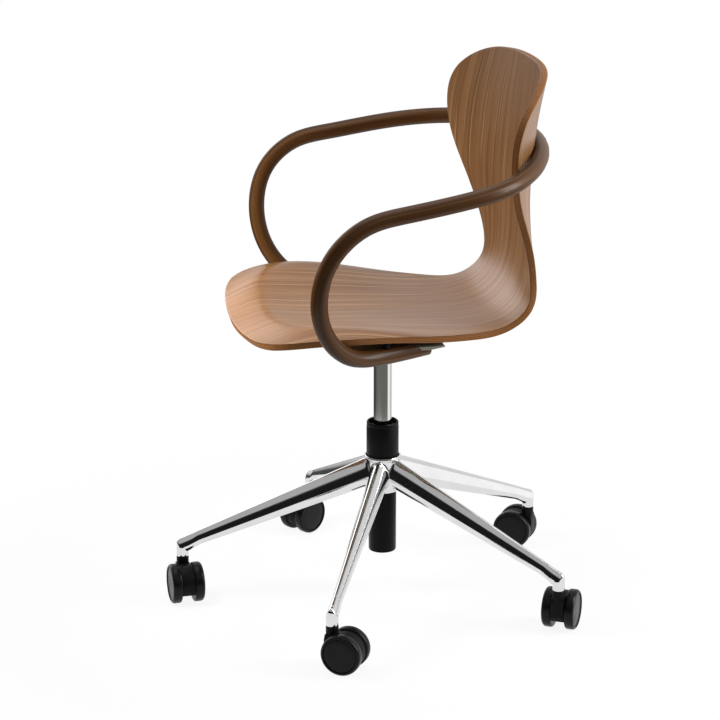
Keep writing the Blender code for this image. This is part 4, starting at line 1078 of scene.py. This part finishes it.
def build_world():
    """White behind the chair for the camera; metal and gloss mirror a room with lit panels instead."""
    world = bpy.data.worlds.new("studio")
    bpy.context.scene.world = world
    world.use_nodes = True
    graph = Graph(world)
    direction = graph.node("ShaderNodeTexCoord").outputs["Generated"]

    def facing(side):
        dot = graph.node("ShaderNodeVectorMath", operation="DOT_PRODUCT")
        dot.inputs[1].default_value = side
        graph.join(direction, dot.inputs[0])
        return dot.outputs["Value"]

    def background(source):
        made = graph.node("ShaderNodeBackground")
        graph.join(source, made.inputs["Color"])
        return made.outputs["Background"]

    def choice(share, first, second):
        made = graph.node("ShaderNodeMixShader")
        graph.join(share, made.inputs["Fac"])
        graph.join(first, made.inputs[1])
        graph.join(second, made.inputs[2])
        return made.outputs["Shader"]

    aside = facing(studio_side(1, 0, 0))
    away = facing(studio_side(0, 1, 0))
    up = facing(studio_side(0, 0, 1))
    wall = graph.level(away, *WALL_EDGE, ROOM_LEVEL, WALL_LEVEL)
    panel = graph.level(aside, *PANEL_EDGE, 0.0, PANEL_LEVEL)
    ceiling = graph.level(up, *CEILING_EDGE, 0.0, CEILING_LEVEL)
    window = graph.level(facing(studio_side(*WINDOW_SIDE)), *WINDOW_EDGE, 0.0, WINDOW_LEVEL)
    room = graph.math("MAXIMUM", graph.math("MAXIMUM", wall, ceiling), window)
    above = graph.level(up, *HORIZON, 0.0, 1.0)
    behind = graph.math("MULTIPLY", graph.level(aside, *BEHIND_RIGHT, 0.0, 1.0),
                        graph.level(away, *BEHIND_AWAY, 0.0, 1.0))
    below = graph.math("MAXIMUM", graph.level(away, *FLOOR_EDGE, *STUDIO_FLOOR_LEVELS),
                       graph.math("MULTIPLY", behind, WALL_LEVEL))
    mirrored = graph.math("MAXIMUM", graph.mixed(above, below, room), panel)
    rays = graph.node("ShaderNodeLightPath")
    soft = graph.tree.nodes["Background"]
    soft.inputs["Color"].default_value = (1, 1, 1, 1)
    soft.inputs["Strength"].default_value = SKY_LEVEL
    white = graph.node("ShaderNodeBackground")
    white.inputs["Color"].default_value = (1, 1, 1, 1)
    lit = choice(rays.outputs["Is Glossy Ray"], soft.outputs["Background"], background(mirrored))
    clear = graph.math("MAXIMUM", rays.outputs["Is Camera Ray"], rays.outputs["Is Transmission Ray"])
    shown = choice(clear, lit, white.outputs["Background"])
    graph.join(shown, graph.tree.nodes["World Output"].inputs["Surface"])


def build_lights():
    for lamp in LAMPS:
        data = bpy.data.lights.new(lamp.name, "AREA")
        data.shape = "RECTANGLE"
        data.size, data.size_y = lamp.size
        data.energy = lamp.power
        data.spread = lamp.spread
        thing = link(lamp.name, data, None, COLUMN + studio_side(*lamp.place))
        toward = studio_side(*lamp.aim) - studio_side(*lamp.place)
        thing.rotation_euler = toward.to_track_quat("-Z", "Y").to_euler()
        thing.visible_glossy = lamp.mirrored


def build_camera():
    aim = COLUMN + studio_side(VIEW_ASIDE, 0, VIEW_HEIGHT)
    away = Vector((math.sin(VIEW_AZIMUTH) * math.cos(VIEW_ELEVATION),
                   -math.cos(VIEW_AZIMUTH) * math.cos(VIEW_ELEVATION), math.sin(VIEW_ELEVATION)))
    data = bpy.data.cameras.new("photo")
    data.lens = LENS_MM
    data.sensor_width = SENSOR_MM
    camera = link("photo", data, None, aim + away * VIEW_DISTANCE)
    camera.rotation_euler = (-away).to_track_quat("-Z", "Y").to_euler()
    bpy.context.scene.camera = camera


dress_nodes()
shell_keepout = build_shell()
build_loop(shell_keepout)
drop(shell_keepout)
build_base()
build_column()
build_casters()
build_floor()
build_world()
build_lights()
build_camera()
bpy.context.scene.view_settings.view_transform = "Standard"
